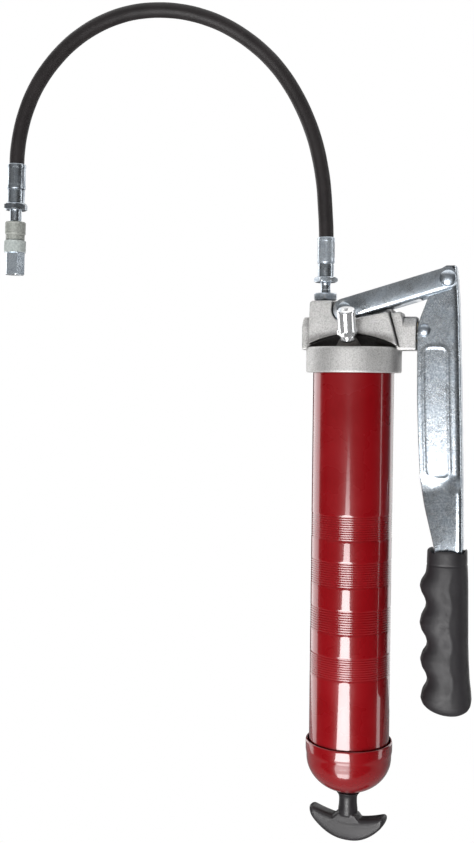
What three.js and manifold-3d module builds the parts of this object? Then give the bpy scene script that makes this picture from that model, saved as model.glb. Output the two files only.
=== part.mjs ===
// Lever-action grease gun with a flexible hose and a hydraulic coupler, in millimetres.
// The pieces are laid out from the barrel axis at the bottom face of the head's collar. The group is
// then shifted so that the origin lies on the flat back face of the head block, in line with the
// barrel axis. +Z runs up the barrel to the head, +X points to the lever, -Y is the front.
import * as THREE from 'three';
import { mergeVertices } from 'three/addons/utils/BufferGeometryUtils.js';
import Module from 'manifold-3d';

const wasm = await Module();
wasm.setup();

const { degToRad, radToDeg } = THREE.MathUtils;

// ---------------------------------------------------------------- driving dimensions
const BARREL_R = 28.6; // outside radius of the grease tube
const BARREL_WALL = 1.3;
const BARREL_BOTTOM = -271.6;
const BARREL_TOP = 13.6;
const COLLAR_R = 33.6; // head's threaded collar
const COLLAR_H = 18;
const COLLAR_BORE_R = 28.95;
const COLLAR_CEILING = 15;
const BLOCK_Y = 16; // half width of the upper block
const DATUM_Z = 36; // height of the origin above the collar's bottom face
const LUG_Y = 11.2; // half width of the lug between the link's flanges
const BOSS_Y = 11.8; // half width of the plunger boss
const HEAD_PIN = { x: -5.15, z: 43.86, radius: 3.0 }; // link on head
const LEVER_PIN = { x: 65.77, z: 54.54 + 10, radius: 3.2 }; // lever on link
const PLUNGER_PIN = { x: 50.09, z: 29.3, radius: 2.5 }; // lever on plunger
const PLUNGER_Z = 28.3; // axis of the plunger bore
const PLUNGER_R = 4.75;
const PLUNGER_TIP_X = -9;
const EYE_SLOT_Z = [25.8, 29.7]; // centres of the eye slot's two end radii
const EYE_SLOT_R = 2.95;
const LINK_HALF = 7.7; // half height of the link
const LINK_IN = 11.5; // inside face of a link flange
const LINK_OUT = 14.0; // outside face of a link flange
const LEVER_HALF = 11.0; // half width of the lever channel
const LEVER_T = 2.0; // lever sheet
const OUTLET_X = -20.86; // outlet and hose axis on the head
const OUTLET_LIFT = 0.45; // height offset of the outlet stack
const HOSE_SWING = degToRad(15); // swing of the hose loop to the front, about the outlet axis
const HOSE_R = 5.2;
const HOSE_BORE_R = 2.4;
const HOSE_TAIL_R = 4.75; // straight hose ends inside the ferrules
const HOSE_JOINT_R = 9.0; // ball radius of the hose's flex stations
const HOSE_JOINT_GAP = 0.15; // clearance on each side of that radius
const HOSE_FLEX = [0.335, 0.665]; // flex stations, as fractions of the hose's length
const CAP_RIM = -262;
const ROD_R = 4.0;
const FOLLOWER_BORE_R = ROD_R + 0.35;
const FOLLOWER_Z = -14; // top of the follower at rest
const COUPLER_LEAN = degToRad(1.35);
const COUPLER_TOP = [-240.3, 145.4]; // hose end at the coupler, along the hose plane and Z

// ---------------------------------------------------------------- solids and meshes
function toSolid(geometry) {
  let bare = geometry.clone();
  for (const name of Object.keys(bare.attributes)) {
    if (name !== 'position') bare.deleteAttribute(name);
  }
  bare = mergeVertices(bare, 1e-4);
  const position = bare.attributes.position;
  const source = bare.index.array;
  const triangles = [];
  const corners = [0, 1, 2].map(() => new THREE.Vector3());
  let volume = 0;
  for (let i = 0; i < source.length; i += 3) {
    const [a, b, c] = source.slice(i, i + 3);
    if (a === b || b === c || a === c) continue;
    [a, b, c].forEach((index, k) => corners[k].fromBufferAttribute(position, index));
    volume += corners[0].dot(corners[1].clone().cross(corners[2]));
    triangles.push(a, b, c);
  }
  // a negative volume means the faces point inwards
  if (volume < 0) {
    for (let i = 0; i < triangles.length; i += 3) {
      [triangles[i + 1], triangles[i + 2]] = [triangles[i + 2], triangles[i + 1]];
    }
  }
  return new wasm.Manifold(new wasm.Mesh({
    numProp: 3,
    vertProperties: new Float32Array(position.array),
    triVerts: new Uint32Array(triangles),
  }));
}

function toGeometry(solid) {
  const mesh = solid.getMesh();
  const geometry = new THREE.BufferGeometry();
  const positions = new Float32Array(mesh.vertProperties);
  geometry.setAttribute('position', new THREE.BufferAttribute(positions, 3));
  geometry.setIndex(new THREE.BufferAttribute(new Uint32Array(mesh.triVerts), 1));
  geometry.computeVertexNormals();
  return geometry;
}

const join = (...solids) => solids.reduce((a, b) => a.add(b));
const cut = (solid, ...tools) => tools.reduce((a, b) => a.subtract(b), solid);

// ---------------------------------------------------------------- axes
const UNIT_Y = new THREE.Vector3(0, 1, 0);
const UNIT_Z = new THREE.Vector3(0, 0, 1);

const makeAxis = (origin, direction) => ({
  origin: new THREE.Vector3(...origin),
  direction: new THREE.Vector3(...direction).normalize(),
});
const pointOn = (axis, distance) => axis.origin.clone().addScaledVector(axis.direction, distance);
const turnOnto = (axis, from) => new THREE.Quaternion().setFromUnitVectors(from, axis.direction);

// lays a geometry built along `from` onto an axis
function place(geometry, axis, from) {
  geometry.applyQuaternion(turnOnto(axis, from));
  geometry.translate(...axis.origin);
  return toSolid(geometry);
}

// point of the hose plane, which is swung to the front about the outlet axis
const swung = (x, z) => [
  OUTLET_X + (x - OUTLET_X) * Math.cos(HOSE_SWING),
  (x - OUTLET_X) * Math.sin(HOSE_SWING),
  z,
];

const BARREL_AXIS = makeAxis([0, 0, 0], [0, 0, 1]);
const PLUNGER_AXIS = makeAxis([0, 0, PLUNGER_Z], [1, 0, 0]);
const OUTLET_AXIS = makeAxis([OUTLET_X, 0, OUTLET_LIFT], [0, 0, 1]);
// starts at the centre of the filler's hexagon and points out, up and to the front
const FILLER_AXIS = makeAxis([0, -29.1, 26.2], [0, -8.18, 16.1]);
// starts at the hose end and points down through the coupler
const COUPLER_AXIS = makeAxis(swung(...COUPLER_TOP), [
  -Math.sin(COUPLER_LEAN) * Math.cos(HOSE_SWING),
  -Math.sin(COUPLER_LEAN) * Math.sin(HOSE_SWING),
  -Math.cos(COUPLER_LEAN),
]);
const pinAxis = (pin) => makeAxis([pin.x, 0, pin.z], [0, 1, 0]);

// ---------------------------------------------------------------- outlines
const toVectors = (points) => points.map(([u, v]) => new THREE.Vector2(u, v));

const circle = (radius, count, phase = 0) => Array.from({ length: count }, (_, i) => {
  const angle = phase + (2 * Math.PI * i) / count;
  return [radius * Math.cos(angle), radius * Math.sin(angle)];
});

// angles in degrees
const arc = (centreU, centreV, radius, start, end, steps) =>
  Array.from({ length: steps + 1 }, (_, i) => {
    const angle = degToRad(start + ((end - start) * i) / steps);
    return [centreU + radius * Math.cos(angle), centreV + radius * Math.sin(angle)];
  });

// power of the size of a value, with its sign kept; shapes superellipses
const signedPower = (value, power) => Math.sign(value) * Math.pow(Math.abs(value), power);

// ---------------------------------------------------------------- basic solids
function box([x0, x1], [y0, y1], [z0, z1]) {
  const geometry = new THREE.BoxGeometry(x1 - x0, y1 - y0, z1 - z0);
  geometry.translate((x0 + x1) / 2, (y0 + y1) / 2, (z0 + z1) / 2);
  return toSolid(geometry);
}

const extrude = (points, depth) => new THREE.ExtrudeGeometry(
  new THREE.Shape(toVectors(points)),
  { depth, bevelEnabled: false, steps: 1 },
);

// outline given in X and Z, solid between y0 and y1
function prismY(points, y0, y1) {
  const geometry = extrude(points, y1 - y0);
  geometry.rotateX(Math.PI / 2);
  geometry.translate(0, y1, 0);
  return toSolid(geometry);
}
const centredPrismY = (points, half) => prismY(points, -half, half);

// outline given in Y and Z, solid between x0 and x1
function prismX(points, x0, x1) {
  const geometry = extrude(points, x1 - x0);
  const unitX = new THREE.Vector3(1, 0, 0);
  geometry.applyMatrix4(new THREE.Matrix4().makeBasis(UNIT_Y, UNIT_Z, unitX));
  geometry.translate(x0, 0, 0);
  return toSolid(geometry);
}

// profile of [radius, distance along the axis] turned about the axis
function turned(profile, segments, axis = BARREL_AXIS) {
  return place(new THREE.LatheGeometry(toVectors(profile), segments), axis, UNIT_Y);
}
const ring = (inner, outer, from, to, segments, axis) => turned(
  [[inner, from], [outer, from], [outer, to], [inner, to], [inner, from]], segments, axis);
const rod = (radius, from, to, segments, axis) => turned(
  [[0, from], [radius, from], [radius, to], [0, to]], segments, axis);

function ball(radius, centre, around, down) {
  const geometry = new THREE.SphereGeometry(radius, around, down);
  geometry.translate(...centre);
  return toSolid(geometry);
}

// cutter for a cross hole at a pin
const pinHole = (pin, clearance) => rod(pin.radius + clearance, -20, 20, 12, pinAxis(pin));

// hexagonal bar with turned chamfers at both ends
function hexNut({ corners, from, to, chamfer, phase }, axis = BARREL_AXIS) {
  const radius = corners / 2; // corners: width across corners
  const bar = extrude(circle(radius, 6, phase), to - from);
  bar.translate(0, 0, from);
  const faceR = radius - chamfer * 1.6;
  const envelope = turned([
    [0, from - 0.01], [faceR, from - 0.01], [radius + 0.2, from + chamfer],
    [radius + 0.2, to - chamfer], [faceR, to + 0.01], [0, to + 0.01],
  ], 14, axis);
  return place(bar, axis, UNIT_Z).intersect(envelope);
}

// closed skin over equal rings of points; `caps` are the triangles that close an end ring
function skin(rings, caps) {
  const count = rings[0].length;
  const last = (rings.length - 1) * count;
  const indices = [];
  for (let k = 0; k + 1 < rings.length; k++) {
    for (let i = 0; i < count; i++) {
      const a = k * count + i;
      const b = k * count + ((i + 1) % count);
      indices.push(a, b, b + count, a, b + count, a + count);
    }
  }
  for (const [a, b, c] of caps) {
    indices.push(a, c, b);
    indices.push(last + a, last + b, last + c);
  }
  const geometry = new THREE.BufferGeometry();
  geometry.setAttribute('position', new THREE.Float32BufferAttribute(rings.flat(2), 3));
  geometry.setIndex(indices);
  return geometry;
}

// skin over counter-clockwise rings stacked upwards in Z; the outline may be concave
function loft(rings) {
  return toSolid(skin(rings, THREE.ShapeUtils.triangulateShape(toVectors(rings[0]), [])));
}

// tube along a curve, with an optional six-sided bore
function alongCurve(curve, radius, bore, steps, sides) {
  const shape = new THREE.Shape(toVectors(circle(radius, sides)));
  if (bore) shape.holes.push(new THREE.Path(toVectors(circle(bore, 6))));
  const options = { steps, bevelEnabled: false, extrudePath: curve };
  return toSolid(new THREE.ExtrudeGeometry(shape, options));
}

// coil spring of square wire section; radius is to the wire's centre, wire is its half thickness
function coil({ radius, wire, from, to, turns, perTurn }, axis = BARREL_AXIS) {
  const turn = turnOnto(axis, UNIT_Z);
  const steps = Math.round(turns * perTurn);
  const points = Array.from({ length: steps + 1 }, (_, i) => {
    const along = i / steps;
    const angle = 2 * Math.PI * turns * along;
    const height = from + wire + (to - from - 2 * wire) * along;
    return new THREE.Vector3(radius * Math.cos(angle), radius * Math.sin(angle), height)
      .applyQuaternion(turn)
      .add(axis.origin);
  });
  return alongCurve(new THREE.CatmullRomCurve3(points), wire, 0, steps, 4);
}

// ---------------------------------------------------------------- scene
const gun = new THREE.Group();
gun.position.set(0, -BLOCK_Y, -DATUM_Z);

const FINISHES = {
  cast: { color: 0xa8a5a0, roughness: 0.55, metalness: 0.9 },
  red: { color: 0x8c1016, roughness: 0.15, metalness: 0.1 },
  zinc: { color: 0xb4babf, roughness: 0.3, metalness: 1.0 },
  chrome: { color: 0xe0e2e4, roughness: 0.08, metalness: 1.0 },
  steel: { color: 0x8c8f92, roughness: 0.35, metalness: 1.0 },
  spring: { color: 0x5a5c60, roughness: 0.4, metalness: 1.0 },
  rubber: { color: 0x151415, roughness: 0.7, metalness: 0.0 },
  plastic: { color: 0x2a292a, roughness: 0.5, metalness: 0.0 },
  hose: { color: 0x2b2727, roughness: 0.6, metalness: 0.0 },
  brass: { color: 0xb08a45, roughness: 0.35, metalness: 1.0 },
};

function add(name, solid, finish) {
  const material = new THREE.MeshStandardMaterial(FINISHES[finish]);
  const mesh = new THREE.Mesh(toGeometry(solid), material);
  mesh.name = name;
  gun.add(mesh);
}

// ---------------------------------------------------------------- head casting
function headCollar() {
  return turned([
    [0, COLLAR_CEILING], [COLLAR_BORE_R, COLLAR_CEILING], [COLLAR_BORE_R, 0],
    [COLLAR_R - 0.6, 0], [COLLAR_R, 0.6], [COLLAR_R, COLLAR_H - 0.9],
    [COLLAR_R - 0.9, COLLAR_H], [0, COLLAR_H],
  ], 36);
}

// full-width block with the round recess for the link's end and two slanted cheeks
function headBlock() {
  const block = centredPrismY([
    [-29.9, 17.5], [-29.8, 30.4], [-29.3, 49.1], [-28.3, 50.1], [-13.4, 50.1],
    ...arc(HEAD_PIN.x, HEAD_PIN.z, 8.6, 172, 296, 8),
    [3.9, 38.0], [24.2, 41.7], [25.95, 41.5], [32.7, 17.5],
  ], BLOCK_Y);
  // arched relief in the front and back faces
  const scoop = [...arc(0, -39.5, 66.3, 56, 124, 14), [-37, 0], [37, 0]];
  const scoopFloor = 9;
  return cut(block,
    prismY(scoop, -BLOCK_Y - 1, -scoopFloor),
    prismY(scoop, scoopFloor, BLOCK_Y + 1));
}

// lug between the link's flanges, with the stop for the link
function headLug() {
  return centredPrismY([
    [-29.5, 17.5], [-28.4, 50.1], [-7, 50.1],
    ...arc(HEAD_PIN.x, HEAD_PIN.z, 7.4, 52, -48, 6),
    [2.7, 37.6], [22.9, 41.3], [24.3, 44.1], [27.5, 44.2], [28.2, 41.5],
    [33.8, 42.2], [35.2, 36.4], [35.2, 17.5],
  ], LUG_Y);
}

function headShoulder() {
  return centredPrismY([
    [17.1, 20.5], [17.1, 39.5], [27.2, 41.3], [34.0, 42.3], [35.5, 36.4], [35.5, 17.5], [31, 17.5],
  ], BOSS_Y);
}

// plunger bosses at both ends of the bore, each with a slightly smaller end step
function headBosses() {
  const outline = [
    [-BOSS_Y, 15.6], [BOSS_Y, 15.6], [BOSS_Y, 33], [7.8, 38.2],
    [6.6, 39.1], [-6.6, 39.1], [-7.8, 38.2], [-BOSS_Y, 33],
  ];
  const shrunk = (scaleY, scaleZ, middleZ) =>
    outline.map(([y, z]) => [y * scaleY, middleZ + (z - middleZ) * scaleZ]);
  const bosses = join(
    prismX(outline, 24, 43.9),
    prismX(shrunk(0.93, 0.94, 27.4), 43.7, 44.6),
    prismX(outline, -34.6, -27),
    prismX(shrunk(0.92, 0.93, 27.2), -35.5, -34.5));
  return cut(bosses, rod(COLLAR_R - 2, 10, COLLAR_H - 1, 24));
}

function fillerBoss() {
  const profile = [[0, -11.2], [8.8, -11.2], [8.2, -8.2], [5.9, -4.0], [0, -4.0]];
  return cut(turned(profile, 14, FILLER_AXIS), rod(COLLAR_R, 5, 16, 24));
}

function headCasting() {
  const inletAxis = makeAxis([12, 0, 0], [0, 0, 1]);
  const core = box([-29, 31], [-9, 9], [17, 24]);
  const body = join(
    headCollar(), headBlock(), headLug(), headShoulder(), headBosses(), core, fillerBoss());
  return cut(body,
    rod(5.1, -28, 33.5, 14, PLUNGER_AXIS), // plunger bore
    rod(8.1, 32.5, 46, 17, PLUNGER_AXIS), // packing chamber
    rod(6.6, -38, -28, 14, PLUNGER_AXIS), // bore end, threaded for the plug
    rod(1.8, 30, 36, 7, OUTLET_AXIS), // outlet port
    rod(4.3, 34.4, 51, 14, OUTLET_AXIS), // check valve chamber
    rod(5.3, 44.2, 51, 14, OUTLET_AXIS), // outlet thread
    rod(3.0, 13, PLUNGER_Z, 10, inletAxis), // inlet port from the barrel
    pinHole(HEAD_PIN, 0.3), // link pivot
    rod(4.3, -16, -3, 12, FILLER_AXIS)); // filler thread
}
add('head_casting', headCasting(), 'cast');

// ---------------------------------------------------------------- barrel and cap
const barrelTube = ring(BARREL_R - BARREL_WALL, BARREL_R, BARREL_BOTTOM, BARREL_TOP, 36);
add('barrel_tube', barrelTube, 'red');
add('barrel_gasket', ring(26.6, 28.7, BARREL_TOP + 0.1, COLLAR_CEILING - 0.1, 22), 'rubber');

function endCap() {
  const domeR = 30.25;
  const domeDepth = 25.4;
  const domeZ = -274.2;
  const wall = 1.5;
  const holeR = 4.7;
  const mouthR = BARREL_R + 0.3;
  const sleeveR = 30.9;
  // quarter ellipse from the rim of the dome down to the rod hole
  const dome = (radius, depth, steps) => {
    const endAngle = Math.acos(holeR / radius);
    return Array.from({ length: steps + 1 }, (_, i) => {
      const angle = (endAngle * i) / steps;
      return [radius * Math.cos(angle), domeZ - depth * Math.sin(angle)];
    });
  };
  const shell = turned([
    [mouthR, CAP_RIM], [30.5, CAP_RIM], [sleeveR, CAP_RIM - 0.5], [sleeveR, -270.6],
    [domeR, -271.8],
    ...dome(domeR, domeDepth, 7),
    ...dome(domeR - wall, domeDepth - wall, 5).reverse(),
    [mouthR, -272.4], [mouthR, CAP_RIM],
  ], 28);
  // side notch of the keyhole that locks the drawn rod
  return cut(shell, box([0, 9.4], [-2.7, 2.7], [-304, -294]));
}
add('end_cap', endCap(), 'red');

// ---------------------------------------------------------------- follower group
function followerSpring() {
  return coil({
    radius: 20.6, wire: 1.2, from: -287.2, to: FOLLOWER_Z - 8.2, turns: 8.5, perTurn: 11,
  });
}

function followerCup() {
  const base = FOLLOWER_Z - 6.2;
  const floor = FOLLOWER_Z - 3.4;
  return turned([
    [FOLLOWER_BORE_R, base], [24.6, base], [26.9, FOLLOWER_Z - 4.2], [27.0, FOLLOWER_Z],
    [25.4, FOLLOWER_Z], [24.2, floor], [FOLLOWER_BORE_R, floor], [FOLLOWER_BORE_R, base],
  ], 24);
}

// rod with a locking groove and a reduced end for the nut
function followerRod() {
  const grooveR = 2.6;
  const endR = 3.0;
  return turned([
    [0, -314], [ROD_R, -314], [ROD_R, -94.2], [grooveR, -93.0], [grooveR, -88.4], [ROD_R, -87.2],
    [ROD_R, FOLLOWER_Z - 1.6], [endR, FOLLOWER_Z - 1.2], [endR, FOLLOWER_Z + 4.6],
    [2.4, FOLLOWER_Z + 5.2], [0, FOLLOWER_Z + 5.2],
  ], 12);
}

function rodNut() {
  const nut = hexNut({
    corners: 11.5, from: FOLLOWER_Z - 1.1, to: FOLLOWER_Z + 3.9, chamfer: 0.6, phase: 0,
  });
  return cut(nut, rod(3.3, -30, 0, 10));
}

const followerPlate = ring(FOLLOWER_BORE_R, 25.4, FOLLOWER_Z - 7.9, FOLLOWER_Z - 6.3, 22);
const followerWasher = ring(FOLLOWER_BORE_R, 12, FOLLOWER_Z - 3.3, FOLLOWER_Z - 1.9, 14);
add('follower_spring', followerSpring(), 'spring');
add('follower_plate', followerPlate, 'zinc');
add('follower_cup', followerCup(), 'rubber');
add('follower_washer', followerWasher, 'zinc');
add('follower_rod', followerRod(), 'steel');
add('rod_nut', rodNut(), 'zinc');

// moulded handle: flared stem on a half-moon bar turned a little about the rod
function handleBar() {
  const halfLength = 30.2;
  const sides = 12;
  const endZone = 0.93; // fraction of the half length where the ends start to round off
  const halfStations = [6.5, 13, 19, 24, 27.5, 29.4, halfLength];
  const stations = [...halfStations.map((x) => -x).reverse(), 0, ...halfStations];
  const rings = stations.map((x) => {
    const reach = Math.abs(x) / halfLength;
    const rounding = Math.max(0, (reach - endZone) / 0.07);
    const top = -318.2 + 5.2 * reach * reach - 1.6 * rounding;
    const bottom = reach < 0.999 ? -336.2 + 17.2 * Math.pow(reach, 2.35) : -317.6;
    const halfY = 6.0 - 2.4 * rounding;
    const middle = (top + bottom) / 2;
    const halfZ = Math.max((top - bottom) / 2, 1.2);
    return circle(1, sides, Math.PI / sides).map(([u, v]) => [
      x,
      halfY * signedPower(u, 0.45),
      middle + halfZ * signedPower(v, 0.55),
    ]);
  });
  const fan = Array.from({ length: sides - 2 }, (_, i) => [0, i + 1, i + 2]);
  const geometry = skin(rings, fan);
  geometry.rotateZ(degToRad(-9));
  return toSolid(geometry);
}

function tHandle() {
  const stem = turned([
    [0, -318], [9.8, -318], [8.2, -315.5], [6.9, -312.0], [6.45, -308], [6.45, -304],
    [7.1, -302.0], [8.7, -300.4], [8.7, -299.9], [0, -299.9],
  ], 14);
  return cut(join(handleBar(), stem), rod(ROD_R + 0.3, -314.4, -299, 10));
}
add('t_handle', tHandle(), 'plastic');

// ---------------------------------------------------------------- plunger, packing, end plug
function plunger() {
  const chamfer = 0.8;
  const shaftEnd = 46.2;
  const shaft = turned([
    [0, PLUNGER_TIP_X], [PLUNGER_R - chamfer, PLUNGER_TIP_X],
    [PLUNGER_R, PLUNGER_TIP_X + chamfer], [PLUNGER_R, shaftEnd], [0, shaftEnd],
  ], 14, PLUNGER_AXIS);
  const eyeMiddle = (EYE_SLOT_Z[0] + EYE_SLOT_Z[1]) / 2;
  // lower half of the eye's outline: X and depth below its middle
  const lowerEye = [[45.3, 4.4], [47.2, 7.2], [52.9, 7.2], [55.9, 4.6], [56.7, 2]];
  const eye = centredPrismY([
    ...lowerEye.map(([x, depth]) => [x, eyeMiddle - depth]),
    ...lowerEye.map(([x, depth]) => [x, eyeMiddle + depth]).reverse(),
  ], 6.6);
  const slotX = PLUNGER_PIN.x - 0.1;
  const slot = centredPrismY([
    ...arc(slotX, EYE_SLOT_Z[1], EYE_SLOT_R, 0, 180, 8),
    ...arc(slotX, EYE_SLOT_Z[0], EYE_SLOT_R, 180, 360, 8),
  ], 8);
  return cut(join(shaft, eye), slot);
}

const PACKING_R = 7.9;

// nut around the plunger with a slot across its outer face
function packingNut() {
  const nut = ring(PLUNGER_R + 0.25, PACKING_R, 38.3, 44.2, 14, PLUNGER_AXIS);
  return cut(nut, box([42.9, 45], [-1.2, 1.2], [18, 40]));
}

// plug with a hexagonal socket in its outer face
function boreEndPlug() {
  const socket = new THREE.CylinderGeometry(3.2, 3.2, 4, 6);
  socket.rotateZ(Math.PI / 2);
  socket.translate(-34.1, 0, PLUNGER_Z);
  return cut(rod(6.4, -35.1, -28.2, 14, PLUNGER_AXIS), toSolid(socket));
}

const packing = ring(PLUNGER_R + 0.12, PACKING_R, 32.7, 38.1, 14, PLUNGER_AXIS);
add('plunger', plunger(), 'steel');
add('plunger_packing', packing, 'rubber');
add('packing_nut', packingNut(), 'brass');
add('bore_end_plug', boreEndPlug(), 'steel');

// ---------------------------------------------------------------- linkage
// two flanges joined by a web along their lower edge
function link() {
  const angle = Math.atan2(LEVER_PIN.z - HEAD_PIN.z, LEVER_PIN.x - HEAD_PIN.x);
  const degrees = radToDeg(angle);
  // point at a distance along the link from the head pin, and across it
  const onLink = (along, across) => [
    HEAD_PIN.x + along * Math.cos(angle) - across * Math.sin(angle),
    HEAD_PIN.z + along * Math.sin(angle) + across * Math.cos(angle),
  ];
  const flange = [
    ...arc(HEAD_PIN.x, HEAD_PIN.z, LINK_HALF, degrees + 90, degrees + 270, 12),
    ...arc(LEVER_PIN.x, LEVER_PIN.z, LINK_HALF, degrees - 90, degrees + 90, 12),
  ];
  const webTop = -LINK_HALF + 2.4;
  const web = [
    onLink(14, -LINK_HALF), onLink(52, -LINK_HALF), onLink(50.5, webTop), onLink(12.8, webTop),
  ];
  const body = join(
    prismY(flange, -LINK_OUT, -LINK_IN),
    prismY(flange, LINK_IN, LINK_OUT),
    centredPrismY(web, LINK_IN + 0.5));
  return cut(body, pinHole(HEAD_PIN, 0.15), pinHole(LEVER_PIN, 0.15));
}

// shank with a rounded head at each end; halfSpan is half the width it holds
function rivet(pin, { headR, headH, halfSpan, segments }) {
  const seat = halfSpan + 0.02;
  const head = (sign) => [
    [headR, sign * seat],
    [headR * 0.97, sign * (halfSpan + headH * 0.35)],
    [headR * 0.8, sign * (halfSpan + headH * 0.72)],
    [headR * 0.45, sign * (halfSpan + headH * 0.95)],
    [0, sign * (halfSpan + headH)],
  ];
  const profile = [...head(-1).reverse(), [pin.radius, -seat], [pin.radius, seat], ...head(1)];
  return turned(profile, segments, pinAxis(pin));
}

const RIVETS = {
  link_rivet_head: [HEAD_PIN, { headR: 5.0, headH: 1.6, halfSpan: LINK_OUT, segments: 12 }],
  link_rivet_lever: [LEVER_PIN, { headR: 5.7, headH: 3.2, halfSpan: LINK_OUT, segments: 14 }],
  plunger_rivet: [PLUNGER_PIN, { headR: 4.3, headH: 2.4, halfSpan: LEVER_HALF, segments: 14 }],
};
add('link', link(), 'zinc');
for (const [name, [pin, sizes]] of Object.entries(RIVETS)) add(name, rivet(pin, sizes), 'zinc');

// ---------------------------------------------------------------- lever channel and grip
// height, X of the open edge, X of the back, half width, corner radius
const LEVER_STATIONS = [
  [73.0, 63.5, 70.85, LEVER_HALF, 3.6], [71.7, 60.7, 71.2, LEVER_HALF, 4.2],
  [68.6, 58.4, 71.6, LEVER_HALF, 4.4], [62.7, 56.05, 72.2, LEVER_HALF, 4.45],
  [52.6, 52.6, 73.05, LEVER_HALF, 4.45], [43.6, 49.25, 73.55, LEVER_HALF, 4.45],
  [34.5, 46.1, 73.95, LEVER_HALF, 4.45], [25.5, 45.35, 74.2, LEVER_HALF, 4.45],
  [-18.45, 45.8, 75.75, LEVER_HALF, 4.45], [-45.9, 47.0, 76.6, LEVER_HALF, 4.45],
  [-73.4, 48.75, 77.3, LEVER_HALF, 4.45], [-91.3, 51.8, 77.65, LEVER_HALF, 4.45],
  [-107.8, 55.85, 78.05, LEVER_HALF, 4.45], [-116.7, 58.0, 78.25, 10.8, 4.45],
  [-128.4, 60.3, 77.9, 9.6, 4.2], [-137.2, 62.0, 77.1, 8.6, 4.0], [-221.4, 62.6, 77.3, 8.6, 4.0],
];

// height, X of the barrel side, X of the far side, half width
const GRIP_STATIONS = [
  [-122.3, 53.9, 80.9, 13.2], [-131.9, 53.4, 81.3, 13.2], [-132.6, 53.8, 81.0, 12.9],
  [-134.0, 53.2, 81.5, 13.3], [-138.6, 52.8, 81.7, 13.4], [-143.2, 50.1, 81.9, 13.4],
  [-148.1, 48.75, 82.05, 13.4], [-157.4, 53.0, 82.25, 13.2], [-163.1, 53.0, 82.35, 13.2],
  [-168.2, 50.3, 82.4, 13.3], [-174.0, 49.05, 82.5, 13.3], [-180.0, 51.0, 82.6, 13.2],
  [-187.2, 54.5, 82.7, 13.2], [-194.6, 51.2, 83.05, 13.3], [-199.6, 49.85, 83.2, 13.4],
  [-205.5, 51.5, 83.6, 13.4], [-213.0, 54.9, 84.1, 13.5], [-221.3, 51.6, 85.2, 13.7],
  [-227.1, 50.4, 85.65, 13.7], [-231.2, 52.4, 84.9, 13.0], [-234.3, 56.4, 82.5, 11.4],
  [-236.9, 61.7, 79.0, 8.4], [-238.7, 67.3, 74.5, 4.2],
];

// height, X of the barrel side, X of the far side, half width, far corner radius
const POCKET_STATIONS = [
  [-222.6, 61.6, 78.3, 9.4, 4.8], [-138.2, 61.0, 78.1, 9.4, 4.8], [-128.4, 59.0, 79.0, 10.4, 5.2],
  [-121.7, 57.1, 79.6, 11.6, 5.6], [-120.5, 56.8, 79.7, 11.8, 5.6],
];

const atHeight = (outline, z) => outline.map(([x, y]) => [x, y, z]);

// rounded back of a section, from its -Y corner to its +Y corner
const roundedBack = (back, half, radius, steps) => [
  ...arc(back - radius, -half + radius, radius, -90, 0, steps),
  ...arc(back - radius, half - radius, radius, 0, 90, steps),
];

// channel open towards the barrel
function lever() {
  const rings = LEVER_STATIONS.map(([z, open, back, half, radius]) => {
    const innerHalf = half - LEVER_T;
    const innerBack = roundedBack(back - LEVER_T, innerHalf, radius - LEVER_T, 2).reverse();
    return atHeight([
      [open, -half], ...roundedBack(back, half, radius, 2), [open, half],
      [open, innerHalf], ...innerBack, [open, -innerHalf],
    ], z);
  });
  return cut(loft(rings.reverse()), pinHole(LEVER_PIN, 0.3), pinHole(PLUNGER_PIN, 0.15));
}

// finger-shaped oval grip, hollow for the lever's tang
function leverGrip() {
  const rings = GRIP_STATIONS.map(([z, near, far, half]) => {
    const outline = circle(1, 16).map(([u, v]) => [
      (near + far) / 2 + ((far - near) / 2) * signedPower(u, 0.86),
      half * signedPower(v, 0.78),
    ]);
    return atHeight(outline, z);
  });
  const nearR = 2;
  const pocket = POCKET_STATIONS.map(([z, near, far, half, radius]) => atHeight([
    ...arc(near + nearR, -half + nearR, nearR, 180, 270, 2),
    ...roundedBack(far, half, radius, 4),
    ...arc(near + nearR, half - nearR, nearR, 90, 180, 2),
  ], z));
  return cut(loft(rings.reverse()), loft(pocket));
}
add('lever', lever(), 'zinc');
add('lever_grip', leverGrip(), 'plastic');

// ---------------------------------------------------------------- outlet and check valve
function checkSpring() {
  const sizes = { radius: 2.4, wire: 0.4, from: 40.6, to: 44.3, turns: 3, perTurn: 8 };
  return coil(sizes, OUTLET_AXIS);
}

function outletAdapter() {
  const hex = { corners: 18, from: 50.75, to: 55.8, chamfer: 0.9, phase: Math.PI / 6 + 0.12 };
  return cut(join(rod(5.1, 44.5, 50.9, 14, OUTLET_AXIS), hexNut(hex, OUTLET_AXIS)),
    rod(3.85, 46.5, 56, 12, OUTLET_AXIS),
    rod(2.2, 44, 47, 7, OUTLET_AXIS));
}
add('check_ball', ball(3.2, pointOn(OUTLET_AXIS, 37.25), 12, 8), 'steel');
add('check_spring', checkSpring(), 'spring');
add('outlet_adapter', outletAdapter(), 'steel');

// ---------------------------------------------------------------- filler
function fillerFitting() {
  const shank = rod(4.0, -9.4, -3.3, 12, FILLER_AXIS);
  const neck = rod(5.4, -3.6, -2.0, 12, FILLER_AXIS);
  const hexSizes = { corners: 14.2, from: -2.4, to: 2.4, chamfer: 0.8, phase: 0.35 };
  const hex = hexNut(hexSizes, FILLER_AXIS);
  const bodyProfile = [[0, 1.8], [6.3, 1.8], [6.3, 17.0], [5.2, 18.2], [0, 18.2]];
  const boreProfile = [[0, -16], [2.9, -16], [2.9, 15.6], [1.5, 15.6], [1.5, 19], [0, 19]];
  const body = turned(bodyProfile, 17, FILLER_AXIS);
  return cut(join(shank, neck, hex, body), turned(boreProfile, 10, FILLER_AXIS));
}

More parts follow.
